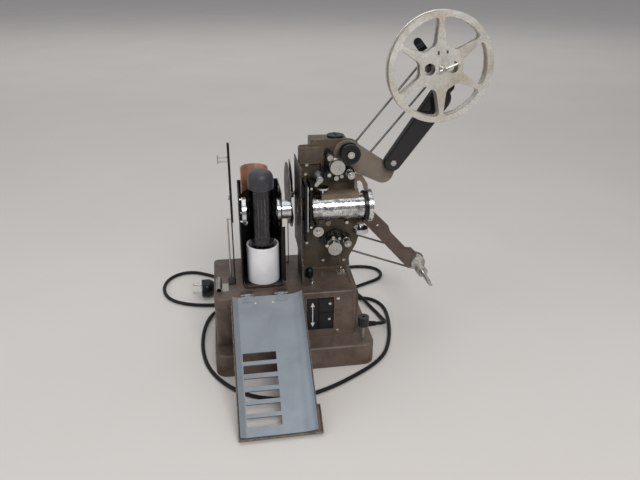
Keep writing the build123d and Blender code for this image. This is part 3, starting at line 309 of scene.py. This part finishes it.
def leaf_paint():
    """The hinge leaves' grey paint; the two rivets beside them and the spacers are bare steel."""
    t = Tree("leaf_paint", (0.235, 0.262, 0.285), 0.36)
    cloud = t.ramp(t.noise(40, 6, 0.6, distort=0.5), (0.34, 0.80), (0.62, 1.05))
    painted = t.mix(1.0, (0.225, 0.250, 0.272), cloud, "MULTIPLY")
    worn = t.mix(t.edges(0.0009), painted, (0.36, 0.34, 0.32))
    left = t.between("X", -0.0708, -0.0662)
    bare = t.sum(left, t.between("X", -0.0408, -0.0362), "MAXIMUM")
    t.link(t.mix(bare, worn, (0.55, 0.52, 0.48)), "Base Color")
    t.link(bare, "Metallic")
    t.bump(t.noise(620, 3), 0.00005, 0.35)
    return t


def tilt_finish():
    """Black moulded knob above, bright threaded rod below it."""
    t = Tree("tilt_finish", (0.014, 0.014, 0.015), 0.30)
    speck = t.ramp(t.noise(140, 7, 0.65), (0.56, 0.0), (0.74, 0.14))
    black = t.mix(speck, (0.014, 0.014, 0.015), (0.20, 0.19, 0.18))
    stem = t.between("Z", 0.0, 0.0699)
    t.link(t.mix(stem, black, (0.54, 0.52, 0.49)), "Base Color")
    t.link(stem, "Metallic")
    thread = t.ramp(t.coordinate("Z"), (0.0, 0.0), (1.0, 1.0))
    turns = t.sum(t.sum(thread, 5200.0, "MULTIPLY"), 0.0, "SINE")
    t.bump(t.sum(turns, stem, "MULTIPLY"), 0.0003, 0.5)
    return t


def saddle_paint():
    """The saddle's enamel; the small control plate on the base's ledge is bare steel."""
    t = worn_paint("saddle_paint", (0.150, 0.110, 0.075), (0.10, 0.072, 0.048), (0.22, 0.17, 0.12),
                   (0.55, 0.48, 0.38), 0.36)
    low = t.between("Z", 0.130, 0.1385)
    painted = t.shader.inputs["Base Color"].links[0].from_socket
    t.link(t.mix(low, painted, (0.52, 0.50, 0.46)), "Base Color")
    metal = t.shader.inputs["Metallic"].links[0].from_socket
    t.link(t.sum(metal, low, "MAXIMUM"), "Metallic")
    return t


def barrel_chrome():
    """Old bright plating on the lens: mirror-like in places, mottled grey where it has dulled."""
    t = Tree("barrel", (0.86, 0.85, 0.84), 0.14, 1.0)
    mottle = t.ramp(t.noise(75, 9, 0.72, distort=0.9), (0.40, 0.34), (0.50, 0.78), (0.60, 1.0))
    fine = t.ramp(t.noise(300, 5, 0.7), (0.40, 0.62), (0.56, 1.0))
    worn = t.mix(1.0, t.mix(1.0, (0.90, 0.885, 0.87), mottle, "MULTIPLY"), fine, "MULTIPLY")
    t.link(worn, "Base Color")
    t.link(t.ramp(t.noise(110, 8, 0.7, distort=0.8), (0.40, 0.34), (0.60, 0.07)), "Roughness")
    low = t.bump(t.noise(55, 4), 0.00035, 0.35)
    t.bump(t.noise(260, 6, 0.7), 0.00012, 0.5, low)
    return t


def grey_casting():
    """Rough sand-cast aluminium."""
    t = Tree("grey_cast", (0.50, 0.48, 0.45), 0.5, 0.75)
    t.link(t.ramp(t.noise(90, 7, 0.65), (0.34, (0.26, 0.24, 0.22)), (0.62, (0.62, 0.60, 0.56))),
           "Base Color")
    t.bump(t.noise(520, 5), 0.00022, 0.6)
    return t


def reel_metal():
    """Pale pressed metal, yellowed in clouds, darker along the edges."""
    t = Tree("reel", (0.52, 0.49, 0.43), 0.38, 0.75)
    cloud = t.ramp(t.noise(13, 7, 0.62, distort=0.5), (0.34, (0.62, 0.55, 0.45)),
                   (0.50, (0.73, 0.70, 0.63)), (0.66, (0.80, 0.79, 0.76)))
    fine = t.ramp(t.noise(330, 5, 0.7), (0.36, 0.80), (0.56, 1.0))
    spots = t.ramp(t.cells(95, "F1"), (0.05, 0.55), (0.12, 0.0))
    body = t.mix(spots, t.mix(1.0, cloud, fine, "MULTIPLY"), (0.46, 0.36, 0.24))
    t.link(t.mix(t.edges(0.0009), body, (0.13, 0.11, 0.09)), "Base Color")
    t.link(t.ramp(t.noise(60, 6), (0.3, 0.34), (0.7, 0.52)), "Roughness")
    t.bump(t.noise(420, 4), 0.00004, 0.5)
    return t


def copper_sheet():
    """Heat-tinted copper-coloured sheet."""
    t = Tree("copper", (0.80, 0.40, 0.22), 0.42, 0.55)
    t.link(t.ramp(t.noise(40, 6, 0.6), (0.32, (0.46, 0.23, 0.14)), (0.50, (0.66, 0.37, 0.25)),
                  (0.70, (0.80, 0.54, 0.40))), "Base Color")
    t.bump(t.noise(300, 4), 0.00006, 0.4)
    return t


def porcelain():
    """White glazed porcelain with a faint warm stain round the rim."""
    t = Tree("porcelain", (0.86, 0.86, 0.87), 0.17)
    rim = t.ramp(t.coordinate("Z"), (0.196, 0.0), (0.209, 1.0))
    cloud = t.ramp(t.noise(30, 5), (0.35, 0.90), (0.6, 1.0))
    white = t.mix(1.0, (0.86, 0.86, 0.87), cloud, "MULTIPLY")
    stain = t.sum(rim, t.ramp(t.noise(120, 5), (0.45, 0.0), (0.7, 0.5)), "MULTIPLY")
    inner = t.ramp(t.cells(60, "F1"), (0.0, 0.0), (1.0, 0.03))
    t.link(t.mix(stain, t.mix(inner, white, (0.6, 0.58, 0.54)), (0.48, 0.38, 0.28)), "Base Color")
    t.set("Coat Weight", 0.5)
    t.set("Coat Roughness", 0.06)
    t.bump(t.noise(90, 3), 0.00012, 0.25)
    return t


def crown_coating():
    """The satin blue-grey heat coating on the lamp's dome."""
    t = Tree("crown", (0.055, 0.056, 0.068), 0.46)
    t.link(t.ramp(t.noise(120, 6, 0.6), (0.34, (0.026, 0.026, 0.033)), (0.64, (0.044, 0.045, 0.055))),
           "Base Color")
    t.set("Sheen Weight", 0.25)
    t.set("Sheen Roughness", 0.4)
    t.bump(t.noise(900, 3), 0.00004, 0.5)
    return t


def white_paint():
    """The printed arrow's white ink."""
    t = Tree("white_paint", (0.78, 0.78, 0.76), 0.5)
    t.link(t.ramp(t.noise(260, 5), (0.3, (0.62, 0.62, 0.60)), (0.6, (0.82, 0.82, 0.80))), "Base Color")
    return t


def clear_glass(name, colour, ior):
    """Glass with a faint film of dust."""
    t = Tree(name, colour, 0.03)
    t.set("Transmission Weight", 1.0)
    t.set("IOR", ior)
    t.link(t.ramp(t.noise(120, 7, 0.65), (0.50, 0.01), (0.76, 0.09)), "Roughness")
    return t


def mirror_glass():
    """The silvered mirror behind the lamp, a little tarnished."""
    t = Tree("mirror", (0.9, 0.9, 0.9), 0.04, 1.0)
    t.link(t.ramp(t.noise(70, 7, 0.7), (0.36, (0.50, 0.46, 0.40)), (0.56, (0.9, 0.9, 0.89))),
           "Base Color")
    t.link(t.ramp(t.noise(70, 7, 0.7), (0.36, 0.3), (0.56, 0.03)), "Roughness")
    return t


def floor_paper():
    """Plain pale studio surface."""
    t = Tree("floor", (0.76, 0.73, 0.69), 0.62)
    t.link(t.ramp(t.noise(2.2, 5, 0.5), (0.3, (0.715, 0.675, 0.635)), (0.7, (0.745, 0.705, 0.668))),
           "Base Color")
    t.bump(t.noise(900, 2), 0.00004, 0.2)
    return t


MATERIALS = make_materials()

FINISHES = {
    "base_paint": ["base_casting", "door_cover"],
    "head_paint": ["head_plate", "head_housing", "head_covers"],
    "bracket_paint": ["arm_bracket"],
    "arm_paint": ["takeup_arm"],
    "door_paint": ["door_shield"],
    "saddle_paint": ["lens_saddle"],
    "screen_sheet": ["heat_screens", "bottom_cover", "drive_motor"],
    "black_sheet": ["lamphouse_frame", "latch_strip", "film_gate"],
    "black_gloss": ["supply_arm"],
    "black_plastic": ["feed_roller", "roller_upper_left", "speed_knob", "black_fittings"],
    "panel_plastic": ["connector_panel"],
    "rubber": ["strain_relief"],
    "steel": ["case_screws", "film_posts", "pressure_plate", "toggle", "supply_pulley",
              "takeup_pulley", "supply_spindle", "takeup_spindle"],
    "rod_steel": ["latch_rods"],
    "leaf_paint": ["door_fittings"],
    "dark_steel": ["base_hinge_leaves", "shutter", "drive_shaft", "motor_rotor"],
    "tilt_finish": ["tilt_screw"],
    "aluminium": ["upper_sprocket", "lower_sprocket", "roller_upper_right", "roller_lower_right",
                  "gate_knob", "lower_guide"],
    "chrome": ["optic_mounts", "lens_clamp", "focus_knob", "lamp_button"],
    "barrel": ["lens_barrel"],
    "grey_cast": ["takeup_hub"],
    "reel": ["supply_reel"],
    "copper": ["rear_hood"],
    "porcelain": ["lamp_socket"],
    "glass": ["lens_glass", "condenser_lenses"],
    "mirror": ["rear_mirror"],
}
for finish, names in FINISHES.items():
    for name in names:
        slots = nodes[name].material_slots
        if not slots:
            nodes[name].data.materials.append(None)
        for material_slot in nodes[name].material_slots:
            material_slot.material = MATERIALS[finish].material


# ---------------------------------------------------------------- mesh helpers

def add_piece(name, mesh, finish, body, smooth=True):
    """Link a mesh as a piece that rides on a body."""
    piece = bpy.data.objects.new(name, mesh)
    bpy.context.scene.collection.objects.link(piece)
    mesh.materials.append(MATERIALS[finish].material)
    if smooth:
        mesh.polygons.foreach_set("use_smooth", [True] * len(mesh.polygons))
    if body is not None:
        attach(piece, body)
    return piece


def lathe(name, profile, origin, axis, sides=72):
    """A solid of revolution: the closed profile is (radius, distance along the axis)."""
    axis = Vector(axis).normalized()
    side = axis.orthogonal().normalized()
    other = axis.cross(side)
    mesh = bpy.data.meshes.new(name)
    verts, faces = [], []
    for i in range(sides):
        angle = 2 * math.pi * i / sides
        out = side * math.cos(angle) + other * math.sin(angle)
        for radius, along in profile:
            verts.append(Vector(origin) + out * radius + axis * along)
    count = len(profile)
    for i in range(sides):
        after = (i + 1) % sides
        for j in range(count):
            k = (j + 1) % count
            faces.append((i * count + j, i * count + k, after * count + k, after * count + j))
    mesh.from_pydata([v[:] for v in verts], [], faces)
    tidy_mesh(mesh)
    return mesh


def tidy_mesh(mesh):
    """Merge points that coincide and make the faces point outwards."""
    work = bmesh.new()
    work.from_mesh(mesh)
    bmesh.ops.remove_doubles(work, verts=work.verts, dist=1e-7)
    bmesh.ops.dissolve_degenerate(work, edges=work.edges, dist=1e-7)
    bmesh.ops.recalc_face_normals(work, faces=work.faces)
    work.to_mesh(mesh)
    work.free()


def arc(centre, radius, start, end, count):
    """Profile points along an arc, angles in degrees."""
    turns = [math.radians(start + (end - start) * i / (count - 1)) for i in range(count)]
    return [(centre[0] + radius * math.cos(a), centre[1] + radius * math.sin(a)) for a in turns]


def crease(piece, degrees=35):
    """Smooth shading that stops at hard edges."""
    with bpy.context.temp_override(object=piece, active_object=piece, selected_objects=[piece],
                                   selected_editable_objects=[piece]):
        bpy.ops.object.shade_smooth_by_angle(angle=math.radians(degrees))


def rod(name, points, radius, sides=12):
    """A round rod along straight runs, as a mesh."""
    curve = bpy.data.curves.new(name + "_line", "CURVE")
    curve.dimensions = "3D"
    curve.bevel_depth = radius
    curve.bevel_resolution = sides // 4
    curve.use_fill_caps = True
    line = curve.splines.new("POLY")
    line.points.add(len(points) - 1)
    for point, place in zip(line.points, points):
        point.co = (*place, 1.0)
    holder = bpy.data.objects.new(name + "_holder", curve)
    mesh = bpy.data.meshes.new_from_object(holder)
    mesh.name = name
    bpy.data.objects.remove(holder)
    tidy_mesh(mesh)
    return mesh


def joined(name, meshes):
    """Several meshes as one."""
    work = bmesh.new()
    for mesh in meshes:
        work.from_mesh(mesh)
    whole = bpy.data.meshes.new(name)
    work.to_mesh(whole)
    work.free()
    return whole


# ---------------------------------------------------------------- mains lead and plug

CORD_ROUTE = [
    (166, -2, 22), (175, -1, 21), (184, 3, 19), (190, 12, 15), (192, 26, 9), (190, 44, 5), (186, 64, 4),
    (180, 84, 4), (172, 102, 8), (163, 118, 14), (153, 134, 14), (150.5, 147.5, 12), (153.8, 160.5, 7),
    (162, 171.3, 4), (181, 181, 4), (204, 192, 4), (225, 203, 4), (236, 219, 4), (238, 238, 4),
    (229, 254, 4), (213, 264, 4), (188, 269, 4), (156, 268, 4), (126, 263, 4), (76, 251, 4),
    (20, 243, 4), (-38, 238, 4), (-88, 240, 4), (-128, 254, 4), (-158, 276, 4), (-190, 295, 4),
    (-222, 293, 4), (-246, 272, 4), (-256, 240, 4), (-253, 206, 4), (-238, 176, 4), (-210, 156, 4),
    (-176, 145, 4), (-136, 141, 4), (-88, 140, 4), (-36, 134, 4), (16, 127, 4), (64, 122, 4),
    (104, 121, 4), (136, 125, 4), (163, 127, 4), (187, 119, 4), (202, 99, 4), (207, 72, 4),
    (204, 38, 4), (196, -2, 4), (184, -40, 4), (167, -76, 4), (140, -104, 4), (100, -130, 4),
    (56, -154, 4), (10, -171, 4), (-36, -174, 4), (-78, -163, 4), (-112, -139, 4), (-140, -105, 4),
    (-159, -64, 4), (-167, -20, 4), (-168, 26, 4), (-163, 68, 4), (-152, 101, 5), (-130, 118, 10),
    (-106, 124, 14), (-81, 131, 15), (-67.5, 145.5, 15), (-64, 164.5, 14), (-71.5, 182.5, 14),
    (-88, 193, 14.5), (-106, 196, 15.5), (-123, 194.5, 16.5),
]


def make_cord():
    points = [Vector(p) / 1000 for p in CORD_ROUTE]
    curve = bpy.data.curves.new("mains_lead", "CURVE")
    curve.dimensions = "3D"
    curve.bevel_depth = CORD_DIAMETER / 2
    curve.bevel_resolution = 5
    curve.resolution_u = 10
    curve.use_fill_caps = True
    line = curve.splines.new("NURBS")
    line.points.add(len(points) - 1)
    for point, place in zip(line.points, points):
        point.co = (*place, 1.0)
    line.order_u = 3
    line.use_endpoint_u = True
    lead = bpy.data.objects.new("mains_lead", curve)
    bpy.context.scene.collection.objects.link(lead)
    curve.materials.append(MATERIALS["rubber"].material)
    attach(lead, "projector")
    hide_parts("mains_cord")
    return lead, points


def make_plug(points):
    """The round two-pin plug: ribbed neck, waisted grip and flat face with two pins."""
    end = points[-1]
    heading = (points[-1] - points[-2]).normalized()
    profile = [(0.0, 0.0), (0.0046, 0.0)]
    for i in range(5):
        along = 0.002 + 0.0028 * i
        radius = 0.0052 + 0.0005 * i
        profile += [(radius, along), (radius, along + 0.0016), (radius - 0.0009, along + 0.0019),
                    (radius - 0.0009, along + 0.0026)]
    profile += arc((0.0, 0.0360), 0.0185, -62, -2, 11)
    profile += [(0.0185, 0.0470), (0.0176, 0.0486), (0.0, 0.0490)]
    body = add_piece("plug_body", lathe("plug_body", profile, end, heading), "black_plastic",
                     "projector")
    crease(body, 30)
    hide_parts("mains_plug")
    up = Vector((0, 0, 1))
    across = (up - heading * up.dot(heading)).normalized()
    pins = []
    for sign in (-1, 1):
        base = end + heading * 0.049 + across * 0.0095 * sign
        shape = [(0.0, -0.002), (0.0024, -0.002), (0.0024, 0.0160), (0.0019, 0.0182), (0.0, 0.0190)]
        pins.append(lathe("pin", shape, base, heading, 32))
    pair = add_piece("plug_pins", joined("plug_pins", pins), "steel", "projector")
    crease(pair, 30)
    return body, pair


lead, cord_points = make_cord()
plug, plug_pins = make_plug(cord_points)


# ---------------------------------------------------------------- lamp

def make_lamp():
    """Cap, glass, coated dome, and the rods and coils that stand inside the glass."""
    centre = LAMP_AXIS
    cap = [(0.0, 0.1450), (0.0088, 0.1450), (0.0088, 0.1605), (0.0178, 0.1610), (0.0180, 0.1640),
           (0.0172, 0.1650), (0.0172, 0.1680), (0.0180, 0.1690), (0.0180, 0.1890), (0.0168, 0.1900),
           (0.0, 0.1900)]
    lamp_cap = add_piece("lamp_cap", lathe("lamp_cap", cap, centre, (0, 0, 1)), "brass",
                         "projector")
    crease(lamp_cap)
    outer = [(0.0165, 0.1902), (0.0185, 0.1925), (0.0203, 0.1965), (0.0210, 0.2010), (0.0210, 0.3180),
             (0.0208, 0.3205)]
    inner = [(radius - 0.0011, along) for radius, along in reversed(outer)]
    add_piece("lamp_glass", lathe("lamp_glass", outer + inner, centre, (0, 0, 1), 96),
              "lamp_glass", "projector")
    dome = [(0.0212, 0.3125), (0.0220, 0.3130), (0.0223, 0.3150), (0.0223, 0.3260)]
    dome += [(0.0223 * math.cos(a) ** 0.52, 0.3260 + 0.0180 * math.sin(a) ** 0.90)
             for a in [math.radians(6 * i) for i in range(1, 15)]]
    dome += [(0.0, 0.3440), (0.0, 0.3430), (0.0209, 0.3215)]
    crown = add_piece("lamp_crown", lathe("lamp_crown", dome, centre, (0, 0, 1), 96), "crown",
                      "projector")
    crease(crown, 40)
    parts = []
    for dx, dy in ((-0.006, -0.007), (0.006, -0.007), (-0.006, 0.007), (0.006, 0.007)):
        foot = centre + Vector((dx * 1.3, dy * 1.3, 0.1905))
        top = centre + Vector((dx, dy, 0.2880))
        parts.append(rod("post", [foot, centre + Vector((dx, dy, 0.2300)), top], 0.0006))
    for height in (0.2560, 0.2860):
        bar = [centre + Vector((0, -0.010, height)), centre + Vector((0, 0.010, height))]
        parts.append(rod("bar", bar, 0.0007))
    for step in range(5):
        y = -0.0070 + 0.0035 * step
        coil = []
        for i in range(60):
            angle = i * 0.9
            z = 0.2585 + 0.0250 * i / 59
            coil.append(centre + Vector((0.0009 * math.cos(angle), y + 0.0009 * math.sin(angle), z)))
        parts.append(rod("coil", coil, 0.00022, 8))
    add_piece("lamp_filament", joined("lamp_filament", parts), "steel", "projector")
    stem = [(0.0, 0.1901), (0.0110, 0.1901), (0.0100, 0.2050), (0.0055, 0.2150), (0.0, 0.2160)]
    add_piece("lamp_stem", lathe("lamp_stem", stem, centre, (0, 0, 1)), "lamp_glass",
              "projector")
    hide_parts("projection_lamp")


make_lamp()


# ---------------------------------------------------------------- coiled belts

def belt_line(first, second, radii, y, step):
    """Evenly spaced points round two pulleys."""
    (ax, az), (bx, bz) = first, second
    span = math.hypot(bx - ax, bz - az)
    heading = math.atan2(bz - az, bx - ax)
    lean = math.acos((radii[0] - radii[1]) / span)
    wrap_a, wrap_b = 2 * math.pi - 2 * lean, 2 * lean
    straight = span * math.sin(lean)
    total = straight * 2 + wrap_a * radii[0] + wrap_b * radii[1]
    count = round(total / step)
    points = []
    for i in range(count):
        s = total * i / count
        if s < straight:
            angle = heading + lean
            out = Vector((math.cos(angle), 0, math.sin(angle)))
            start = Vector((ax, y, az)) + out * radii[0]
            end = Vector((bx, y, bz)) + out * radii[1]
            points.append(start.lerp(end, s / straight))
            continue
        s -= straight
        if s < wrap_b * radii[1]:
            angle = heading + lean - s / radii[1]
            points.append(Vector((bx + radii[1] * math.cos(angle), y, bz + radii[1] * math.sin(angle))))
            continue
        s -= wrap_b * radii[1]
        if s < straight:
            angle = heading - lean
            out = Vector((math.cos(angle), 0, math.sin(angle)))
            start = Vector((bx, y, bz)) + out * radii[1]
            end = Vector((ax, y, az)) + out * radii[0]
            points.append(start.lerp(end, s / straight))
            continue
        s -= straight
        angle = heading - lean - s / radii[0]
        points.append(Vector((ax + radii[0] * math.cos(angle), y, az + radii[0] * math.sin(angle))))
    return points


def coiled_tube(name, points, radius, per_turn, sides=12):
    """A closed tube whose skin follows a close-wound spring: one ridge every few points."""
    mesh = bpy.data.meshes.new(name)
    count = len(points)
    count -= count % per_turn
    points = points[:count]
    verts, faces = [], []
    normal = Vector((0, 1, 0))
    for i, point in enumerate(points):
        along = (points[(i + 1) % count] - points[i - 1]).normalized()
        side = along.cross(normal).normalized()
        for j in range(sides):
            angle = 2 * math.pi * j / sides
            phase = 2 * math.pi * i / per_turn - angle
            r = radius * (0.86 + 0.14 * abs(math.cos(phase / 2)) ** 0.6)
            verts.append(point + (side * math.cos(angle) + normal * math.sin(angle)) * r)
    for i in range(count):
        after = (i + 1) % count
        for j in range(sides):
            k = (j + 1) % sides
            faces.append((i * sides + j, i * sides + k, after * sides + k, after * sides + j))
    mesh.from_pydata([v[:] for v in verts], [], faces)
    tidy_mesh(mesh)
    return mesh


def axis_of(node):
    """Where a round node's axis passes, in X and Z."""
    low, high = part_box(node)
    return ((low.x + high.x) / 2, (low.z + high.z) / 2)


def joint_at(name):
    place = next(j["pos_m"] for j in frame["joints"] if j["name"] == name)
    return Vector(place)


def make_belts():
    reel = joint_at("supply_reel_spin")
    takeup = joint_at("takeup_spindle_spin")
    driver = axis_of("supply_pulley")
    line = belt_line(driver, (reel.x, reel.z), (0.0169, 0.0174), SUPPLY_BELT_Y, 0.00045)
    belt = add_piece("supply_spring_belt", coiled_tube("supply_spring_belt", line, BELT_RADIUS, 4),
                     "spring", None)
    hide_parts("supply_belt")
    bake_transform(belt)
    line = belt_line(axis_of("takeup_pulley"), (takeup.x, takeup.z), (0.0169, 0.0174), TAKEUP_BELT_Y,
                     0.00045)
    lower = add_piece("takeup_spring_belt", coiled_tube("takeup_spring_belt", line, BELT_RADIUS, 4),
                      "spring", "projector")
    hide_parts("takeup_belt")


make_belts()


# ---------------------------------------------------------------- small additions

def flat_shape(name, outline, y, thick):
    """A thin plate in the XZ plane from its outline."""
    mesh = bpy.data.meshes.new(name)
    front = [(x, y, z) for x, z in outline]
    back = [(x, y + thick, z) for x, z in outline]
    count = len(outline)
    faces = [tuple(range(count)), tuple(range(2 * count - 1, count - 1, -1))]
    faces += [(i, (i + 1) % count, (i + 1) % count + count, i + count) for i in range(count)]
    mesh.from_pydata(front + back, [], faces)
    tidy_mesh(mesh)
    return mesh


def make_arrow():
    """The double-headed arrow printed on the connector panel."""
    x, low, high, head, half, wide = 0.0332, 0.0640, 0.115, 0.009, 0.0007, 0.0038
    outline = [(x, low), (x + wide, low + head), (x + half, low + head), (x + half, high - head),
               (x + wide, high - head), (x, high), (x - wide, high - head), (x - half, high - head),
               (x - half, low + head), (x - wide, low + head)]
    face = -0.0580
    add_piece("panel_arrow", flat_shape("panel_arrow", outline, face - 0.0003, 0.0003),
              "white_paint", "projector", smooth=False)


def make_lens_ring():
    """The dark knurled ring behind the lens's bright front."""
    profile = [(0.0226, 0.1310), (0.0262, 0.1310), (0.0272, 0.1322), (0.0272, 0.1376),
               (0.0266, 0.1380), (0.0226, 0.1380)]
    ring = add_piece("lens_dark_ring", lathe("lens_dark_ring", profile, OPTICAL, (1, 0, 0), 96),
                     "black_plastic", "lens")
    crease(ring)


def bent_clip(name, place, width, height):
    """A small bright wire clip on a wall that faces along X."""
    x, y, z = place
    shape = [(x, y - width / 2, z - height / 2), (x, y - width / 2, z + height / 2),
             (x, y + width / 2, z + height / 2), (x, y + width / 2, z - height / 2)]
    bar = [(x, y - width / 2, z), (x, y + width / 2, z)]
    clip = joined(name, [rod(name + "_hoop", shape, 0.0008), rod(name + "_bar", bar, 0.0008)])
    add_piece(name, clip, "steel", "projector")


def make_clips():
    """The clips that spring the condenser and the mirror against the lamp house's walls."""
    for i, place in enumerate([(-0.0168, 0.020, 0.303), (-0.0168, 0.020, 0.238)]):
        bent_clip("wall_clip_%d" % (i + 1), place, 0.010, 0.009)
    for i, (y, z) in enumerate([(-0.014, 0.284), (-0.014, 0.257), (0.024, 0.284), (0.024, 0.257)]):
        tab = [(0.0, 0.0), (0.0028, 0.0), (0.0028, 0.0012), (0.0018, 0.0020), (0.0, 0.0020)]
        stud = lathe("mirror_stud", tab, (-0.0750, y, z), (1, 0, 0), 24)
        crease(add_piece("mirror_stud_%d" % (i + 1), stud, "steel", "projector"))


make_arrow()
make_lens_ring()
make_clips()


# ---------------------------------------------------------------- floor and light

def make_floor():
    half = 20.0
    mesh = bpy.data.meshes.new("floor")
    corners = [(-half, -half, 0), (half, -half, 0), (half, half, 0), (-half, half, 0)]
    mesh.from_pydata([(x, y, FLOOR_Z - 0.0002) for x, y, _ in corners], [], [(0, 1, 2, 3)])
    floor = bpy.data.objects.new("floor", mesh)
    bpy.context.scene.collection.objects.link(floor)
    mesh.materials.append(MATERIALS["floor"].material)


def area_light(name, place, target, size, energy, colour=(1, 1, 1)):
    data = bpy.data.lights.new(name, "AREA")
    data.shape = "RECTANGLE"
    data.size, data.size_y = size
    data.energy = energy
    data.color = colour
    lamp = bpy.data.objects.new(name, data)
    bpy.context.scene.collection.objects.link(lamp)
    lamp.location = place
    lamp.rotation_euler = (Vector(target) - Vector(place)).to_track_quat("-Z", "Y").to_euler()


make_floor()
area_light("key", (0.35, -1.8, 1.65), (0.05, 0, 0.2), (0.8, 0.8), 23, (1.0, 0.985, 0.96))
area_light("top", (-0.1, 0.2, 2.2), (0, 0, 0), (2.2, 2.2), 12.5, (0.97, 0.985, 1.0))
area_light("back", (0.0, 3.6, 2.6), (0, 4.4, 0), (7.0, 2.5), 45, (1.0, 0.99, 0.96))
area_light("left", (-1.8, -0.5, 1.1), (0, 0, 0.2), (1.2, 1.4), 6, (0.94, 0.97, 1.0))
world = bpy.data.worlds.new("studio")
bpy.context.scene.world = world
world.use_nodes = True
world.node_tree.nodes["Background"].inputs["Color"].default_value = (0.93, 0.95, 1.0, 1.0)
world.node_tree.nodes["Background"].inputs["Strength"].default_value = 0.33
bpy.context.scene.view_settings.view_transform = "Standard"
